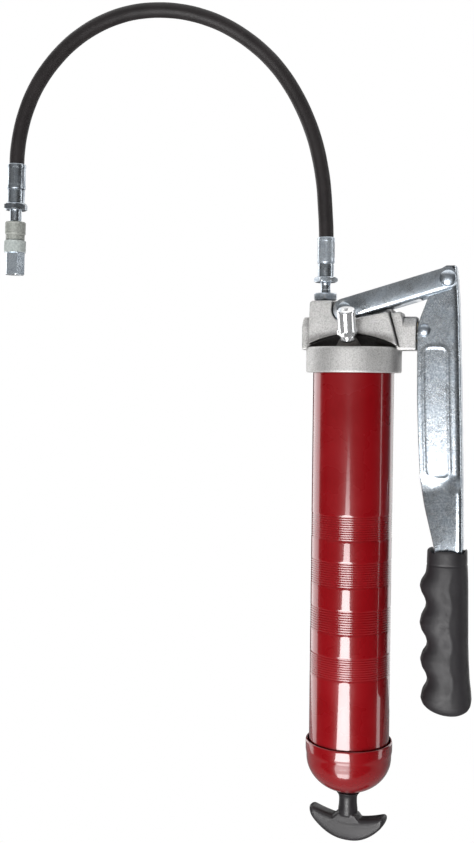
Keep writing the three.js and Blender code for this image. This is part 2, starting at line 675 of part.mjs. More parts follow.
function fillerSpring() {
  const sizes = { radius: 1.9, wire: 0.35, from: -8, to: 10.5, turns: 5, perTurn: 7 };
  return coil(sizes, FILLER_AXIS);
}
add('filler_fitting', fillerFitting(), 'chrome');
add('filler_ball', ball(2.3, pointOn(FILLER_AXIS, 13.1), 10, 6), 'steel');
add('filler_spring', fillerSpring(), 'spring');

// ---------------------------------------------------------------- hose
// centreline: distance along the hose plane, height
const HOSE_POINTS = [
  [OUTLET_X, 96.29], [-20.96, 100.72], [-21.67, 112.80], [-23.98, 137.97], [-30.63, 166.87],
  [-42.91, 194.56], [-58.42, 216.51], [-76.34, 232.62], [-97.09, 244.80], [-118.73, 251.65],
  [-139.88, 253.66], [-161.02, 251.35], [-181.87, 243.80], [-201.00, 231.21], [-216.30, 215.10],
  [-227.38, 197.98], [-234.73, 179.86], [-238.76, 162.64], [-240.27, 149.05], COUPLER_TOP,
];
const hosePath = HOSE_POINTS.map(([x, z]) => new THREE.Vector3(...swung(x, z)));
const hoseCurve = new THREE.CatmullRomCurve3(hosePath, false, 'centripetal');
const hoseLength = hoseCurve.getLength();
const flexCentres = HOSE_FLEX.map((fraction) => hoseCurve.getPointAt(fraction));

// part of a curve between two fractions of its length
class Span extends THREE.Curve {
  constructor(curve, start, end) {
    super();
    this.curve = curve;
    this.start = start;
    this.end = end;
  }

  getPoint(t, target = new THREE.Vector3()) {
    const fraction = this.start + (this.end - this.start) * t;
    return this.curve.getPointAt(THREE.MathUtils.clamp(fraction, 0, 1), target);
  }
}

const hoseSpan = (start, end, steps) =>
  alongCurve(new Span(hoseCurve, start, end), HOSE_R, HOSE_BORE_R, steps, 10);

// hose end rounded to a ball, at flex station k
function flexTip(k) {
  const start = HOSE_FLEX[k];
  const stub = hoseSpan(start - 0.004, start + (HOSE_JOINT_R + 1.5) / hoseLength, 5);
  return stub.intersect(ball(HOSE_JOINT_R - HOSE_JOINT_GAP, flexCentres[k], 14, 8));
}

// hose from flex station k to a fraction of the length, hollowed to take the ball end
function flexSocket(k, end) {
  const socket = ball(HOSE_JOINT_R + HOSE_JOINT_GAP, flexCentres[k], 14, 8);
  return cut(hoseSpan(HOSE_FLEX[k], end, 10), socket);
}

function hoseHeadEnd() {
  const tail = cut(rod(HOSE_TAIL_R, 78.2, 96.4, 8, OUTLET_AXIS),
    rod(HOSE_BORE_R, 77, 98, 7, OUTLET_AXIS));
  return join(hoseSpan(0, HOSE_FLEX[0], 10), flexTip(0), tail);
}

function hoseCouplerEnd() {
  const upAxis = makeAxis(COUPLER_AXIS.origin, COUPLER_AXIS.direction.clone().negate());
  const tail = cut(rod(HOSE_TAIL_R, -17, 0.5, 8, upAxis), rod(HOSE_BORE_R, -18, 2, 7, upAxis));
  return join(flexSocket(1, 1), tail);
}
add('hose_head_end', hoseHeadEnd(), 'hose');
add('hose_middle', join(flexSocket(0, HOSE_FLEX[1]), flexTip(1)), 'hose');
add('hose_coupler_end', hoseCouplerEnd(), 'hose');

// flex centres in metres, in the group's own frame
gun.userData.flex = flexCentres.map((centre) =>
  centre.toArray().map((value) => +(value / 1000).toFixed(6)));

// ---------------------------------------------------------------- hose fittings
const STEM_BORE_R = 1.2;

function hoseStemHead() {
  const hex = { corners: 17, from: 63.4, to: 67.1, chamfer: 0.7, phase: 0.2 };
  const shoulder = [[0, 67], [5.75, 67], [5.75, 76.4], [5.2, 76.8], [0, 76.8]];
  const stem = join(
    rod(3.6, 46.8, 63.6, 12, OUTLET_AXIS),
    hexNut(hex, OUTLET_AXIS),
    turned(shoulder, 14, OUTLET_AXIS),
    rod(1.9, 76, 93, 7, OUTLET_AXIS));
  return cut(stem, rod(STEM_BORE_R, 46, 94, 7, OUTLET_AXIS));
}

function hoseFerruleHead() {
  return turned([
    [5.0, 77.0], [6.0, 77.0], [6.2, 78.0], [6.2, 82], [6.0, 83.4], [6.0, 89.4], [6.15, 91],
    [6.15, 94.6], [5.9, 95.2], [5.4, 95.2], [5.0, 95.2], [5.0, 77.0],
  ], 14, OUTLET_AXIS);
}

function hoseFerruleCoupler() {
  return turned([
    [5.05, 0.45], [6.1, 0.45], [6.4, 1.4], [6.4, 12.5], [6.2, 14], [6.4, 15.4],
    [6.4, 17.4], [6.2, 18.0], [5.05, 18.0], [5.05, 0.45],
  ], 14, COUPLER_AXIS);
}

function hoseStemCoupler() {
  const hex = { corners: 17, from: 28, to: 32.7, chamfer: 0.8, phase: 0.5 };
  const shoulder = [[0, 18.3], [5.9, 18.3], [6.0, 19], [6.0, 28.2], [0, 28.2]];
  const stem = join(
    turned(shoulder, 14, COUPLER_AXIS),
    hexNut(hex, COUPLER_AXIS),
    rod(4.1, 32.5, 40.6, 12, COUPLER_AXIS),
    rod(3.3, 40, 50.5, 10, COUPLER_AXIS),
    rod(1.9, 3, 19, 7, COUPLER_AXIS));
  return cut(stem, rod(STEM_BORE_R, 2, 52, 7, COUPLER_AXIS));
}
add('hose_stem_head', hoseStemHead(), 'zinc');
add('hose_ferrule_head', hoseFerruleHead(), 'zinc');
add('hose_ferrule_coupler', hoseFerruleCoupler(), 'zinc');
add('hose_stem_coupler', hoseStemCoupler(), 'zinc');

// ---------------------------------------------------------------- coupler
// wide rear, slimmer waist and the spigot inside the nose
function couplerBody() {
  return turned([
    [3.6, 40.9], [6.6, 40.9], [7.2, 41.6], [7.2, 49.4], [6.6, 49.9], [6.6, 53.6], [5.3, 53.7],
    [5.3, 60.2], [2.4, 60.2], [2.4, 50.9], [3.6, 50.9], [3.6, 40.9],
  ], 17, COUPLER_AXIS);
}

// round sleeve and hexagonal end over a bore that tapers towards the tip
function couplerNose() {
  const sleeve = [[0, 53.9], [7.2, 53.9], [7.6, 54.5], [7.6, 62.3], [7.2, 62.9], [0, 62.9]];
  const hex = { corners: 14.6, from: 62.5, to: 78.2, chamfer: 0.5, phase: 0.35 };
  const bore = [[0, 53], [5.6, 53], [5.6, 69.4], [5.0, 74.4], [4.4, 79], [0, 79]];
  const outside = join(turned(sleeve, 17, COUPLER_AXIS), hexNut(hex, COUPLER_AXIS));
  return cut(outside, turned(bore, 14, COUPLER_AXIS));
}

// one of three tube segments seated in the nose's taper
function couplerJaw(index) {
  const tube = turned([
    [2.6, 66.0], [5.1, 66.0], [5.1, 69.2], [4.1, 77.8], [2.9, 77.8], [2.6, 76.8], [2.6, 66.0],
  ], 14, COUPLER_AXIS);
  const middle = (2 * Math.PI * index) / 3 + 0.3;
  const half = degToRad(57.5);
  const polar = (radius, angle) => [radius * Math.cos(angle), radius * Math.sin(angle)];
  const outline = [
    polar(0.25, middle), polar(12, middle - half), polar(14, middle), polar(12, middle + half),
  ];
  // the wedge spans 60 to 84 along the coupler axis
  const wedge = extrude(outline, 24);
  wedge.translate(0, 0, -84);
  return tube.intersect(place(wedge, COUPLER_AXIS, UNIT_Z.clone().negate()));
}

// pushes the jaws forward through the seal
function couplerSpring() {
  const sizes = { radius: 3.9, wire: 0.4, from: 60.5, to: 63.1, turns: 2, perTurn: 9 };
  return coil(sizes, COUPLER_AXIS);
}
add('coupler_body', couplerBody(), 'zinc');
add('coupler_nose', couplerNose(), 'zinc');
for (let i = 0; i < 3; i++) add(`coupler_jaw_${i + 1}`, couplerJaw(i), 'steel');
add('coupler_seal', ring(1.4, 4.9, 63.4, 65.7, 12, COUPLER_AXIS), 'rubber');
add('coupler_spring', couplerSpring(), 'spring');

export default gun;
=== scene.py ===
"""Lever grease gun with a flexible hose.

The barrel stands upright on Z with the head casting on top and the T handle at the bottom.
The lever hangs beside it on +X; the hose loops up from the head and over to -X.
The camera looks from -Y, so +X is image right.
Layout units are millimetres from the barrel axis and the bottom face of the head's collar.
"""
import math

import bmesh
import bpy
import numpy as np
from mathutils import Matrix, Vector


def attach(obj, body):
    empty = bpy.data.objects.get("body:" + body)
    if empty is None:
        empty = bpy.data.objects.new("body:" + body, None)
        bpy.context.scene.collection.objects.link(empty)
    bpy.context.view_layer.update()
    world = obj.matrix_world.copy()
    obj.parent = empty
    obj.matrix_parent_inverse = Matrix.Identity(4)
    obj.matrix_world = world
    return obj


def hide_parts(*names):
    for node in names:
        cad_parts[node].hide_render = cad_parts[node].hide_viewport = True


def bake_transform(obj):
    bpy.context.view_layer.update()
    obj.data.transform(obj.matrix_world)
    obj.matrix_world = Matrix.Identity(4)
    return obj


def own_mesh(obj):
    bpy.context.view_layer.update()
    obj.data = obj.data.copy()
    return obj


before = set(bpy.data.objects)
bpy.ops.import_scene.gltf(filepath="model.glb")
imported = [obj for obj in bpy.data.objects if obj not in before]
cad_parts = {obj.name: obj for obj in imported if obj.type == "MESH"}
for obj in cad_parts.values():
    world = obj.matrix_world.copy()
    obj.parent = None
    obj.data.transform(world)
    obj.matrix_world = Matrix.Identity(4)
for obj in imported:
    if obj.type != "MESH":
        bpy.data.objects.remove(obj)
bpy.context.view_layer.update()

PI = math.pi
X_AXIS, Y_AXIS, Z_AXIS = (1, 0, 0), (0, 1, 0), (0, 0, 1)
SHIFT = np.array([0.0, -16.0, -36.0])       # layout origin in the row frame, mm


def place(x, y, z):
    """Layout millimetres to row frame metres."""
    return Vector(((x + SHIFT[0]) / 1000, (y + SHIFT[1]) / 1000, (z + SHIFT[2]) / 1000))


def unit(v):
    v = np.asarray(v, float)
    return v / np.linalg.norm(v)


# ------------------------------------------------------------------ shared dimensions
HEAD_PIN = (-5.15, 43.86)                   # x, z of the pins, which all lie along Y
LEVER_PIN = (65.77, 64.54)
PLUNGER_PIN = (50.09, 29.3)
PLUNGER_AT = (0, 0, 28.3)                   # plunger bore, along X
OUTLET_X = -20.86
OUTLET = (OUTLET_X, 0, 0.45)                # outlet and check valve, along Z
FILLER_AT = np.array([0, -29.1, 26.2])      # filler, leaning up and to the front
FILLER_AXIS = unit((0, -8.18, 16.1))

BARREL_R, BARREL_BORE_R = 28.6, 27.3
BARREL_TOP, BARREL_FOOT = 13.6, -271.6
FOLLOWER_TOP = -14
SPRING_FOOT = -287.2
LINK_HALF, LINK_WALL = 14.0, 2.5            # half width across Y
LEVER_HALF, LEVER_WALL = 11.0, 2.0

HOSE_R, HOSE_BORE_R = 5.2, 2.35
HOSE_SWING = math.radians(15)               # hose plane turned about the outlet, to the front
HOSE_END = (-240.3, 145.4)                  # x, z before the swing
COUPLER_LEAN = math.radians(1.35)


def swung(x, z):
    """Point of the upright hose plane after its swing about the outlet."""
    reach = x - OUTLET_X
    return np.array([OUTLET_X + reach * math.cos(HOSE_SWING), reach * math.sin(HOSE_SWING), z])


COUPLER_AT = swung(*HOSE_END)
COUPLER_AXIS = np.array([-math.sin(COUPLER_LEAN) * math.cos(HOSE_SWING),
                         -math.sin(COUPLER_LEAN) * math.sin(HOSE_SWING),
                         -math.cos(COUPLER_LEAN)])


# ------------------------------------------------------------------ outlines
def arc(cx, cy, r, start, end, n):
    """n steps round a circle, angles in degrees."""
    angles = [math.radians(start + (end - start) * i / n) for i in range(n + 1)]
    return [(cx + r * math.cos(a), cy + r * math.sin(a)) for a in angles]


def fillet(points, r, n=3, closed=False):
    """Rounds the corners of a polyline. r is one radius or one per point."""
    points = [np.asarray(p, float) for p in points]
    radii = [r] * len(points) if np.isscalar(r) else r
    out = []
    for i, p in enumerate(points):
        if (not closed and i in (0, len(points) - 1)) or radii[i] <= 0:
            out.append(p)
            continue
        before, after = points[i - 1], points[(i + 1) % len(points)]
        len_b, len_a = np.linalg.norm(before - p), np.linalg.norm(after - p)
        if len_b < 1e-9 or len_a < 1e-9:
            out.append(p)
            continue
        d = min(radii[i], 0.48 * len_b, 0.48 * len_a)
        q0, q1 = p + (before - p) / len_b * d, p + (after - p) / len_a * d
        for k in range(n + 1):
            t = k / n
            out.append((1 - t) ** 2 * q0 + 2 * t * (1 - t) * p + t * t * q1)
    return [tuple(q) for q in out]


def dense(points, step):
    """Splits every segment into pieces no longer than step."""
    out = [tuple(points[0])]
    for a, b in zip(points[:-1], points[1:]):
        a, b = np.asarray(a, float), np.asarray(b, float)
        n = max(1, int(math.ceil(np.linalg.norm(b - a) / step)))
        out += [tuple(a + (b - a) * k / n) for k in range(1, n + 1)]
    return out


def dense_loop(points, step):
    return dense(points + [points[0]], step)[:-1]


def ring_profile(r_in, r_out, h0, h1):
    return [(r_in, h0), (r_out, h0), (r_out, h1), (r_in, h1)]


# ------------------------------------------------------------------ solids
def scene_object(name, mesh):
    o = bpy.data.objects.new(name, mesh)
    bpy.context.scene.collection.objects.link(o)
    return o


def remove(o):
    mesh = o.data
    bpy.data.objects.remove(o)
    bpy.data.meshes.remove(mesh)


def loft(rings, caps=True, loop=False):
    """Skin over rings of layout points; loop joins the last ring to the first."""
    rings = np.asarray(rings, float)
    count, n, _ = rings.shape
    faces = []
    for i in range(count if loop else count - 1):
        j = (i + 1) % count
        for k in range(n):
            l = (k + 1) % n
            faces.append((i * n + k, i * n + l, j * n + l, j * n + k))
    if caps and not loop:
        faces.append(tuple(range(n))[::-1])
        faces.append(tuple((count - 1) * n + k for k in range(n)))
    mesh = bpy.data.meshes.new("part")
    mesh.from_pydata(((rings.reshape(-1, 3) + SHIFT) / 1000).tolist(), [], faces)
    bm = bmesh.new()
    bm.from_mesh(mesh)
    bmesh.ops.remove_doubles(bm, verts=bm.verts, dist=2e-6)
    bmesh.ops.recalc_face_normals(bm, faces=bm.faces)
    bm.to_mesh(mesh)
    bm.free()
    mesh.update()
    return scene_object("part", mesh)


def basis(axis):
    a = unit(axis)
    helper = np.array([1.0, 0, 0]) if abs(a[0]) < 0.8 else np.array([0, 1.0, 0])
    u = unit(helper - a * (helper @ a))
    return u, np.cross(a, u), a


def lathe(profile, n=96, origin=(0, 0, 0), axis=Z_AXIS, shape=None, closed=False, phase=0.0):
    """Turned body from (radius, height); shape(r, theta, h) may change the radius."""
    u, v, a = basis(axis)
    profile = np.asarray(profile, float)
    theta = phase + np.arange(n) * 2 * PI / n
    R = np.repeat(profile[:, 0][:, None], n, 1)
    H = np.repeat(profile[:, 1][:, None], n, 1)
    T = np.repeat(theta[None, :], len(profile), 0)
    if shape is not None:
        R = np.where(R > 1e-9, shape(R, T, H), 0.0)
    around = np.cos(T)[..., None] * u + np.sin(T)[..., None] * v
    points = np.asarray(origin, float)[None, None] + R[..., None] * around + H[..., None] * a
    return loft(points, caps=False, loop=closed)


def prism(outline, low, high, plane="y"):
    """Outline pushed from low to high along the named axis."""
    turn = {"x": lambda u, v, w: (w, u, v),
            "y": lambda u, v, w: (u, w, v),
            "z": lambda u, v, w: (u, v, w)}[plane]
    return loft([[turn(u, v, w) for u, v in outline] for w in (low, high)])


def rod(r, h0, h1, n=48, origin=(0, 0, 0), axis=Z_AXIS):
    return lathe([(0, h0), (r, h0), (r, h1), (0, h1)], n, origin, axis)


def cross_rod(r, pin, n=40):
    """Drill along Y through a pin's x, z."""
    return rod(r, -20, 20, n, (pin[0], 0, pin[1]), Y_AXIS)


def hex_radius(corner, angle):
    """Radius of a hexagon, given across its corners."""
    return corner / 2 * math.cos(PI / 6) / np.cos(angle % (PI / 3) - PI / 6)


def hexbar(corner, h0, h1, chamfer, phase, origin=(0, 0, 0), axis=Z_AXIS, bore=0.0):
    """Hexagonal bar whose corners are turned away at both ends."""
    def shape(r, t, h):
        turned = corner / 2 - chamfer * 1.7 + np.minimum(h - h0, h1 - h) * 1.7
        return np.where(r > bore + 1e-6, np.minimum(hex_radius(corner, t - phase), turned), r)
    heights = [h0, h0 + 0.15, h0 + 0.4, h0 + chamfer, (h0 + h1) / 2,
               h1 - chamfer, h1 - 0.4, h1 - 0.15, h1]
    heights = sorted(set(round(h, 4) for h in heights))
    profile = [(bore, h0)] + [(corner, h) for h in heights] + [(bore, h1)]
    return lathe(profile, 96, origin, axis, shape, closed=bore > 0, phase=phase)


def helix(coil, wire, h0, h1, turns, per, n, origin, axis, dead):
    """Coil spring; dead is how many turns lie closed at each end."""
    u, v, a = basis(axis)
    t = np.linspace(0, turns, int(turns * per) + 1)
    pitch = 2.02 * wire
    span = (h1 - h0) - 2 * wire
    body = span - 2 * dead * pitch
    h = np.where(t > turns - dead, span - pitch * (turns - t),
                 dead * pitch + body * (t - dead) / (turns - 2 * dead))
    h = np.where(t < dead, pitch * t, h)
    h = np.convolve(np.pad(h, 4, mode="reflect", reflect_type="odd"), np.ones(9) / 9, "valid")
    angle = 2 * PI * t
    out = np.cos(angle)[:, None] * u + np.sin(angle)[:, None] * v
    centre = np.asarray(origin, float) + coil * out + (h0 + wire + h)[:, None] * a
    along = np.gradient(centre, axis=0)
    along /= np.linalg.norm(along, axis=1)[:, None]
    side = np.cross(along, out)
    side /= np.linalg.norm(side, axis=1)[:, None]
    th = (np.arange(n) * 2 * PI / n)[None, :, None]
    return loft(centre[:, None] + wire * (np.cos(th) * out[:, None] + np.sin(th) * side[:, None]))


# ------------------------------------------------------------------ mesh edits
def bake(o):
    """Replaces the mesh by its modified form."""
    graph = bpy.context.evaluated_depsgraph_get()
    graph.update()
    mesh = bpy.data.meshes.new_from_object(o.evaluated_get(graph))
    old = o.data
    o.modifiers.clear()
    o.data = mesh
    bpy.data.meshes.remove(old)
    return o


def bevel(o, width, segments=2, angle=30):
    m = o.modifiers.new("bevel", "BEVEL")
    m.width = width / 1000
    m.segments = segments
    m.limit_method = "ANGLE"
    m.angle_limit = math.radians(angle)
    m.use_clamp_overlap = True
    return bake(o)


def boolean(o, tools, operation):
    for tool in tools:
        m = o.modifiers.new("b", "BOOLEAN")
        m.operation = operation
        m.solver = "EXACT"
        m.object = tool
        bpy.context.view_layer.update()
        bake(o)
        remove(tool)
    return o


def cut(o, *tools):
    return boolean(o, tools, "DIFFERENCE")


def fuse(o, *tools):
    return boolean(o, tools, "UNION")


def merge(objects):
    bm = bmesh.new()
    for o in objects:
        bm.from_mesh(o.data)
    mesh = bpy.data.meshes.new("part")
    bm.to_mesh(mesh)
    bm.free()
    for o in objects:
        remove(o)
    return scene_object("part", mesh)


def voxel(o, size, rounds):
    """Remeshes into one skin and smooths it."""
    m = o.modifiers.new("r", "REMESH")
    m.mode = "VOXEL"
    m.voxel_size = size / 1000
    m.adaptivity = 0
    s = o.modifiers.new("s", "SMOOTH")
    s.factor = 0.5
    s.iterations = rounds
    return bake(o)


def dress(o, name, look, nodes, angle, body=None):
    """Names and shades a piece, parents it to its body and hides the nodes it stands for."""
    material, slot = look
    o.name = o.data.name = name
    o.data.materials.clear()
    o.data.materials.append(material)
    for p in o.data.polygons:
        p.use_smooth = True
    o.data.set_sharp_from_angle(angle=math.radians(angle))
    if body:
        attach(o, body)
    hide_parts(*nodes)


def finish(o, node, look, body, angle=35):
    """Finishes a piece that replaces one node and rides one body."""
    dress(o, node + "_shape", look, [node], angle, body)


# ------------------------------------------------------------------ shader graphs
class Graph:
    """Short calls for one shader node tree."""
    def __init__(self, tree):
        self.tree = tree

    def new(self, kind, **props):
        node = self.tree.nodes.new("ShaderNode" + kind)
        for key, value in props.items():
            setattr(node, key, value)
        return node

    def feed(self, value, socket):
        """Links an output, or sets a plain value."""
        if hasattr(value, "links"):
            self.tree.links.new(value, socket)
        else:
            socket.default_value = value

    def ramp(self, source, span=(0.3, 0.7), to=(0, 1), smooth=False):
        """Maps the span of the source to the two values in to."""
        node = self.new("MapRange")
        if smooth:
            node.interpolation_type = "SMOOTHSTEP"
        for key, value in zip(("From Min", "From Max", "To Min", "To Max"), (*span, *to)):
            node.inputs[key].default_value = value
        self.feed(source, node.inputs["Value"])
        return node.outputs["Result"]

    def math(self, operation, a, b=0.0):
        node = self.new("Math", operation=operation)
        self.feed(a, node.inputs[0])
        self.feed(b, node.inputs[1])
        return node.outputs[0]

    def times(self, a, b):
        return self.math("MULTIPLY", a, b)

    def split(self, vector):
        node = self.new("SeparateXYZ")
        self.feed(vector, node.inputs[0])
        return node.outputs


class Material(Graph):
    """Principled material textured in object space: metres, linear colours."""
    def __init__(self, name):
        self.material = bpy.data.materials.new(name)
        self.material.use_nodes = True
        super().__init__(self.material.node_tree)
        self.at = self.new("TexCoord").outputs["Object"]

    def texture(self, kind, scale, stretch=(1, 1, 1)):
        mapping = self.new("Mapping")
        mapping.inputs["Scale"].default_value = stretch
        self.feed(self.at, mapping.inputs["Vector"])
        node = self.new(kind)
        node.inputs["Scale"].default_value = scale
        self.feed(mapping.outputs["Vector"], node.inputs["Vector"])
        return node

    def noise(self, scale, detail=3, rough=0.5, stretch=(1, 1, 1)):
        node = self.texture("TexNoise", scale, stretch)
        node.inputs["Detail"].default_value = detail
        node.inputs["Roughness"].default_value = rough
        return node.outputs["Fac"]

    def mix(self, amount, a, b):
        node = self.new("Mix", data_type="RGBA")
        for value, i in ((amount, 0), (a, 6), (b, 7)):
            self.feed((*value, 1) if isinstance(value, tuple) else value, node.inputs[i])
        return node.outputs[2]

    def bump(self, source, strength, distance, under=None):
        node = self.new("Bump")
        node.inputs["Strength"].default_value = strength
        node.inputs["Distance"].default_value = distance
        self.feed(source, node.inputs["Height"])
        if under is not None:
            self.feed(under, node.inputs["Normal"])
        return node.outputs["Normal"]

    def edge(self, span, amount=1):
        """Amount on worn convex edges, 0 elsewhere; span is in pointiness."""
        return self.ramp(self.new("NewGeometry").outputs["Pointiness"], span, (0, amount))

    def openness(self, distance, samples=6):
        """Ambient occlusion: 1 in the open, less in hollows."""
        node = self.new("AmbientOcclusion", samples=samples)
        node.inputs["Distance"].default_value = distance
        return node.outputs["AO"]

    def done(self, **inputs):
        bsdf = self.tree.nodes["Principled BSDF"]
        for key, value in inputs.items():
            self.feed(value, bsdf.inputs[key.replace("_", " ")])
        return self.material


def cast_metal():
    g = Material("cast_metal")
    broad = g.noise(scale=60)
    fine = g.noise(scale=1050, detail=4, rough=0.75)
    grain = g.noise(scale=2600, detail=2, rough=0.6)
    colour = g.mix(g.ramp(broad), (0.485, 0.479, 0.472), (0.580, 0.574, 0.566))
    colour = g.mix(g.ramp(fine, (0.44, 0.62), (0.0, 0.68)), colour, (0.27, 0.265, 0.26))
    colour = g.mix(g.times(g.edge((0.50, 0.56)), 0.5), colour, (0.84, 0.84, 0.83))
    # painted shade: the colour goes near black in hollows, by ambient occlusion
    hollow = g.ramp(g.openness(0.011, samples=8), (0.42, 0.88), (0.86, 0.0), smooth=True)
    colour = g.mix(hollow, colour, (0.030, 0.028, 0.027))
    # painted shade in the pocket round the filler's foot, where the arch's shadow falls
    gap = g.new("VectorMath", operation="DISTANCE")
    g.feed(g.at, gap.inputs[0])
    gap.inputs[1].default_value = tuple(place(0, -27, 21.5))
    at = g.split(g.at)
    filler_foot_shade = g.times(g.ramp(gap.outputs["Value"], (0.0075, 0.0150), (0.92, 0.0), smooth=True),
                   g.ramp(at["Z"], (-0.0186, -0.0178)))
    colour = g.mix(filler_foot_shade, colour, (0.035, 0.029, 0.024))
    # painted shade fading out above the arch over the collar: an ellipse round x 0, z -0.0185
    across = g.math("ABSOLUTE", at["X"])
    ex = g.times(across, 1 / 0.0315)
    ez = g.times(g.math("ADD", at["Z"], 0.0185), 1 / 0.0090)
    reach = g.math("SQRT", g.math("ADD", g.times(ex, ex), g.times(ez, ez)))
    arch = g.times(g.ramp(reach, (0.98, 1.46), (0.66, 0.0), smooth=True),
                   g.ramp(at["Z"], (-0.0184, -0.0180)))
    arch = g.times(arch, g.ramp(across, (0.028, 0.033), (1.0, 0.0)))
    colour = g.mix(arch, colour, (0.050, 0.045, 0.041))
    normal = g.bump(fine, strength=0.75, distance=0.00034)
    normal = g.bump(grain, strength=0.45, distance=0.00016, under=normal)
    return g.done(Base_Color=colour, Metallic=0.68, Roughness=g.ramp(fine, to=(0.38, 0.58)),
                  Normal=normal)


def red_enamel():
    g = Material("red_enamel")
    broad = g.noise(scale=35)
    peel = g.noise(scale=420, detail=2)
    specks = g.ramp(g.noise(scale=900, detail=2), (0.72, 0.8))
    colour = g.mix(g.ramp(broad), (0.166, 0.0013, 0.0031), (0.196, 0.0019, 0.0045))
    colour = g.mix(g.times(g.edge((0.53, 0.60)), 0.35), colour, (0.20, 0.003, 0.005))
    shade = g.ramp(g.openness(0.0022), (0.30, 0.75), smooth=True)
    colour = g.mix(shade, (0.012, 0.001, 0.001), colour)
    coat_rough = g.math("ADD", g.ramp(peel, (0.35, 0.65), (0.025, 0.05)), g.times(specks, 0.10))
    normal = g.bump(peel, strength=0.05, distance=0.00015)
    return g.done(Base_Color=colour, Roughness=g.ramp(broad, to=(0.22, 0.34)), Normal=normal,
                  Coat_Weight=shade, Coat_Roughness=coat_rough, Coat_IOR=1.5,
                  Specular_IOR_Level=0.3, Coat_Normal=normal)


def zinc(name, tone=1.0, spangle=260, rough=(0.42, 0.2), ripple=0.22, speckle=0.5, metal=1.0,
         matte_above=None, tint=((0.24, 0.25, 0.23), (0.42, 0.435, 0.405)), fold=False):
    """Zinc plate. rough: at its dark and bright blotches; matte_above: z of a dull upper part."""
    g = Material(name)
    warp = g.noise(scale=spangle * 0.6, rough=0.6)
    cells = g.ramp(g.texture("TexVoronoi", spangle).outputs["Distance"], (0.1, 0.75))
    blotch = g.noise(scale=spangle * 0.33, detail=5, rough=0.66)
    grit = g.noise(scale=900, rough=0.7)
    fine = g.noise(scale=2600, rough=0.6)
    brush = g.noise(scale=900, detail=2, stretch=(1, 1, 0.08))
    dark, light, stain = [tuple(c * tone for c in colour) for colour in (
        (0.375, 0.43, 0.49), (0.675, 0.735, 0.79), (0.30, 0.32, 0.37))]
    colour = g.mix(g.ramp(blotch, (0.36, 0.66)), dark, light)
    colour = g.mix(g.ramp(warp, (0.58, 0.72), (0, 0.5)), colour, stain)
    colour = g.mix(g.ramp(grit, (0.50, 0.72), (0, speckle)), colour, (0.95, 0.97, 0.98))
    colour = g.mix(g.ramp(grit, (0.48, 0.30), (0, speckle)), colour, (0.16, 0.18, 0.22))
    colour = g.mix(g.times(g.edge((0.52, 0.58)), 0.6), colour, (0.93, 0.94, 0.95))
    rough = g.math("ADD", g.ramp(blotch, to=rough), g.ramp(fine, to=(-0.04, 0.05)))
    if matte_above is not None:
        # passivated part above a set height
        matte = g.ramp(g.split(g.at)["Z"], (matte_above, matte_above + 0.0003))
        colour = g.mix(matte, colour, g.mix(g.ramp(grit, (0.35, 0.65)), *tint))
        rough = g.math("ADD", rough, g.times(matte, 0.25))
        metal = g.math("SUBTRACT", metal, g.times(matte, metal - 0.4))
    normal = None
    if fold:
        # the lever flange's flat turns a little about its long axis below z -0.105
        at = g.split(g.at)
        turn = g.times(g.ramp(at["Z"], (-0.119, -0.105), (0.350, 0.0), smooth=True),
                       g.ramp(at["Z"], (-0.162, -0.128), (0.84, 1.0), smooth=True))
        height = g.times(g.math("SUBTRACT", at["X"], 0.0637), turn)
        normal = g.bump(height, strength=1.0, distance=1.0)
    # source, strength, distance, from the lowest layer up
    for layer in ((cells, 0.1, 0.0002), (brush, 0.04, 0.00005), (fine, 0.18, 0.00008),
                  (grit, 0.3, 0.0001), (warp, ripple, 0.0006)):
        normal = g.bump(*layer, under=normal)
    return g.done(Base_Color=colour, Metallic=metal, Roughness=rough, Normal=normal)


def plain_metal(name, base, alt, rough, scale=1400, bump=0.08, metallic=1.0, hollow=None):
    """Even metal. hollow: reach of the painted shade in bores and tight corners."""
    g = Material(name)
    fine = g.noise(scale=scale, rough=0.6)
    colour = g.mix(g.ramp(g.noise(scale=70)), base, alt)
    worn = tuple(min(1, c * 1.35 + 0.05) for c in alt)
    colour = g.mix(g.edge((0.52, 0.58), 0.5), colour, worn)
    if hollow:
        # painted shade: darker in bores and tight corners, by ambient occlusion
        hollow_shade = g.ramp(g.openness(hollow), (0.30, 0.72), (0.95, 0.0), smooth=True)
        colour = g.mix(hollow_shade, colour, (0.03, 0.028, 0.026))
    return g.done(Base_Color=colour, Metallic=metallic, Roughness=g.ramp(fine, to=rough),
                  Normal=g.bump(fine, strength=bump, distance=0.0001))


def plastic(name, rough, specular):
    g = Material(name)
    grain = g.noise(scale=2400, rough=0.6)
    mid = g.noise(scale=260, rough=0.55)
    colour = g.mix(g.ramp(g.noise(scale=45)), (0.0118, 0.0107, 0.0120), (0.019, 0.0173, 0.0194))
    scuffs = g.ramp(g.noise(scale=600, detail=4, rough=0.7), (0.62, 0.8), (0, 0.35))
    colour = g.mix(scuffs, colour, (0.07, 0.064, 0.066))
    colour = g.mix(g.edge((0.53, 0.60), 0.35), colour, (0.085, 0.08, 0.082))
    rough = g.math("ADD", g.ramp(mid, to=rough), g.ramp(grain, to=(-0.03, 0.05)))
    normal = g.bump(mid, strength=0.12, distance=0.0003)
    normal = g.bump(grain, strength=0.25, distance=0.00014, under=normal)
    return g.done(Base_Color=colour, Roughness=rough, Normal=normal, Specular_IOR_Level=specular)


def hose_rubber():
    g = Material("hose_rubber")
    wrap = g.noise(scale=1500, detail=2)
    fine = g.noise(scale=3600, rough=0.6)
    colour = g.mix(g.ramp(g.noise(scale=60)), (0.0098, 0.0079, 0.0082), (0.0178, 0.0145, 0.0150))
    dust = g.ramp(g.noise(scale=500, detail=4, rough=0.7), (0.6, 0.8), (0, 0.4))
    colour = g.mix(dust, colour, (0.075, 0.066, 0.064))
    normal = g.bump(wrap, strength=0.22, distance=0.0002)
    normal = g.bump(fine, strength=0.22, distance=0.0001, under=normal)
    return g.done(Base_Color=colour, Roughness=g.ramp(wrap, to=(0.46, 0.62)), Normal=normal,
                  Specular_IOR_Level=0.34)


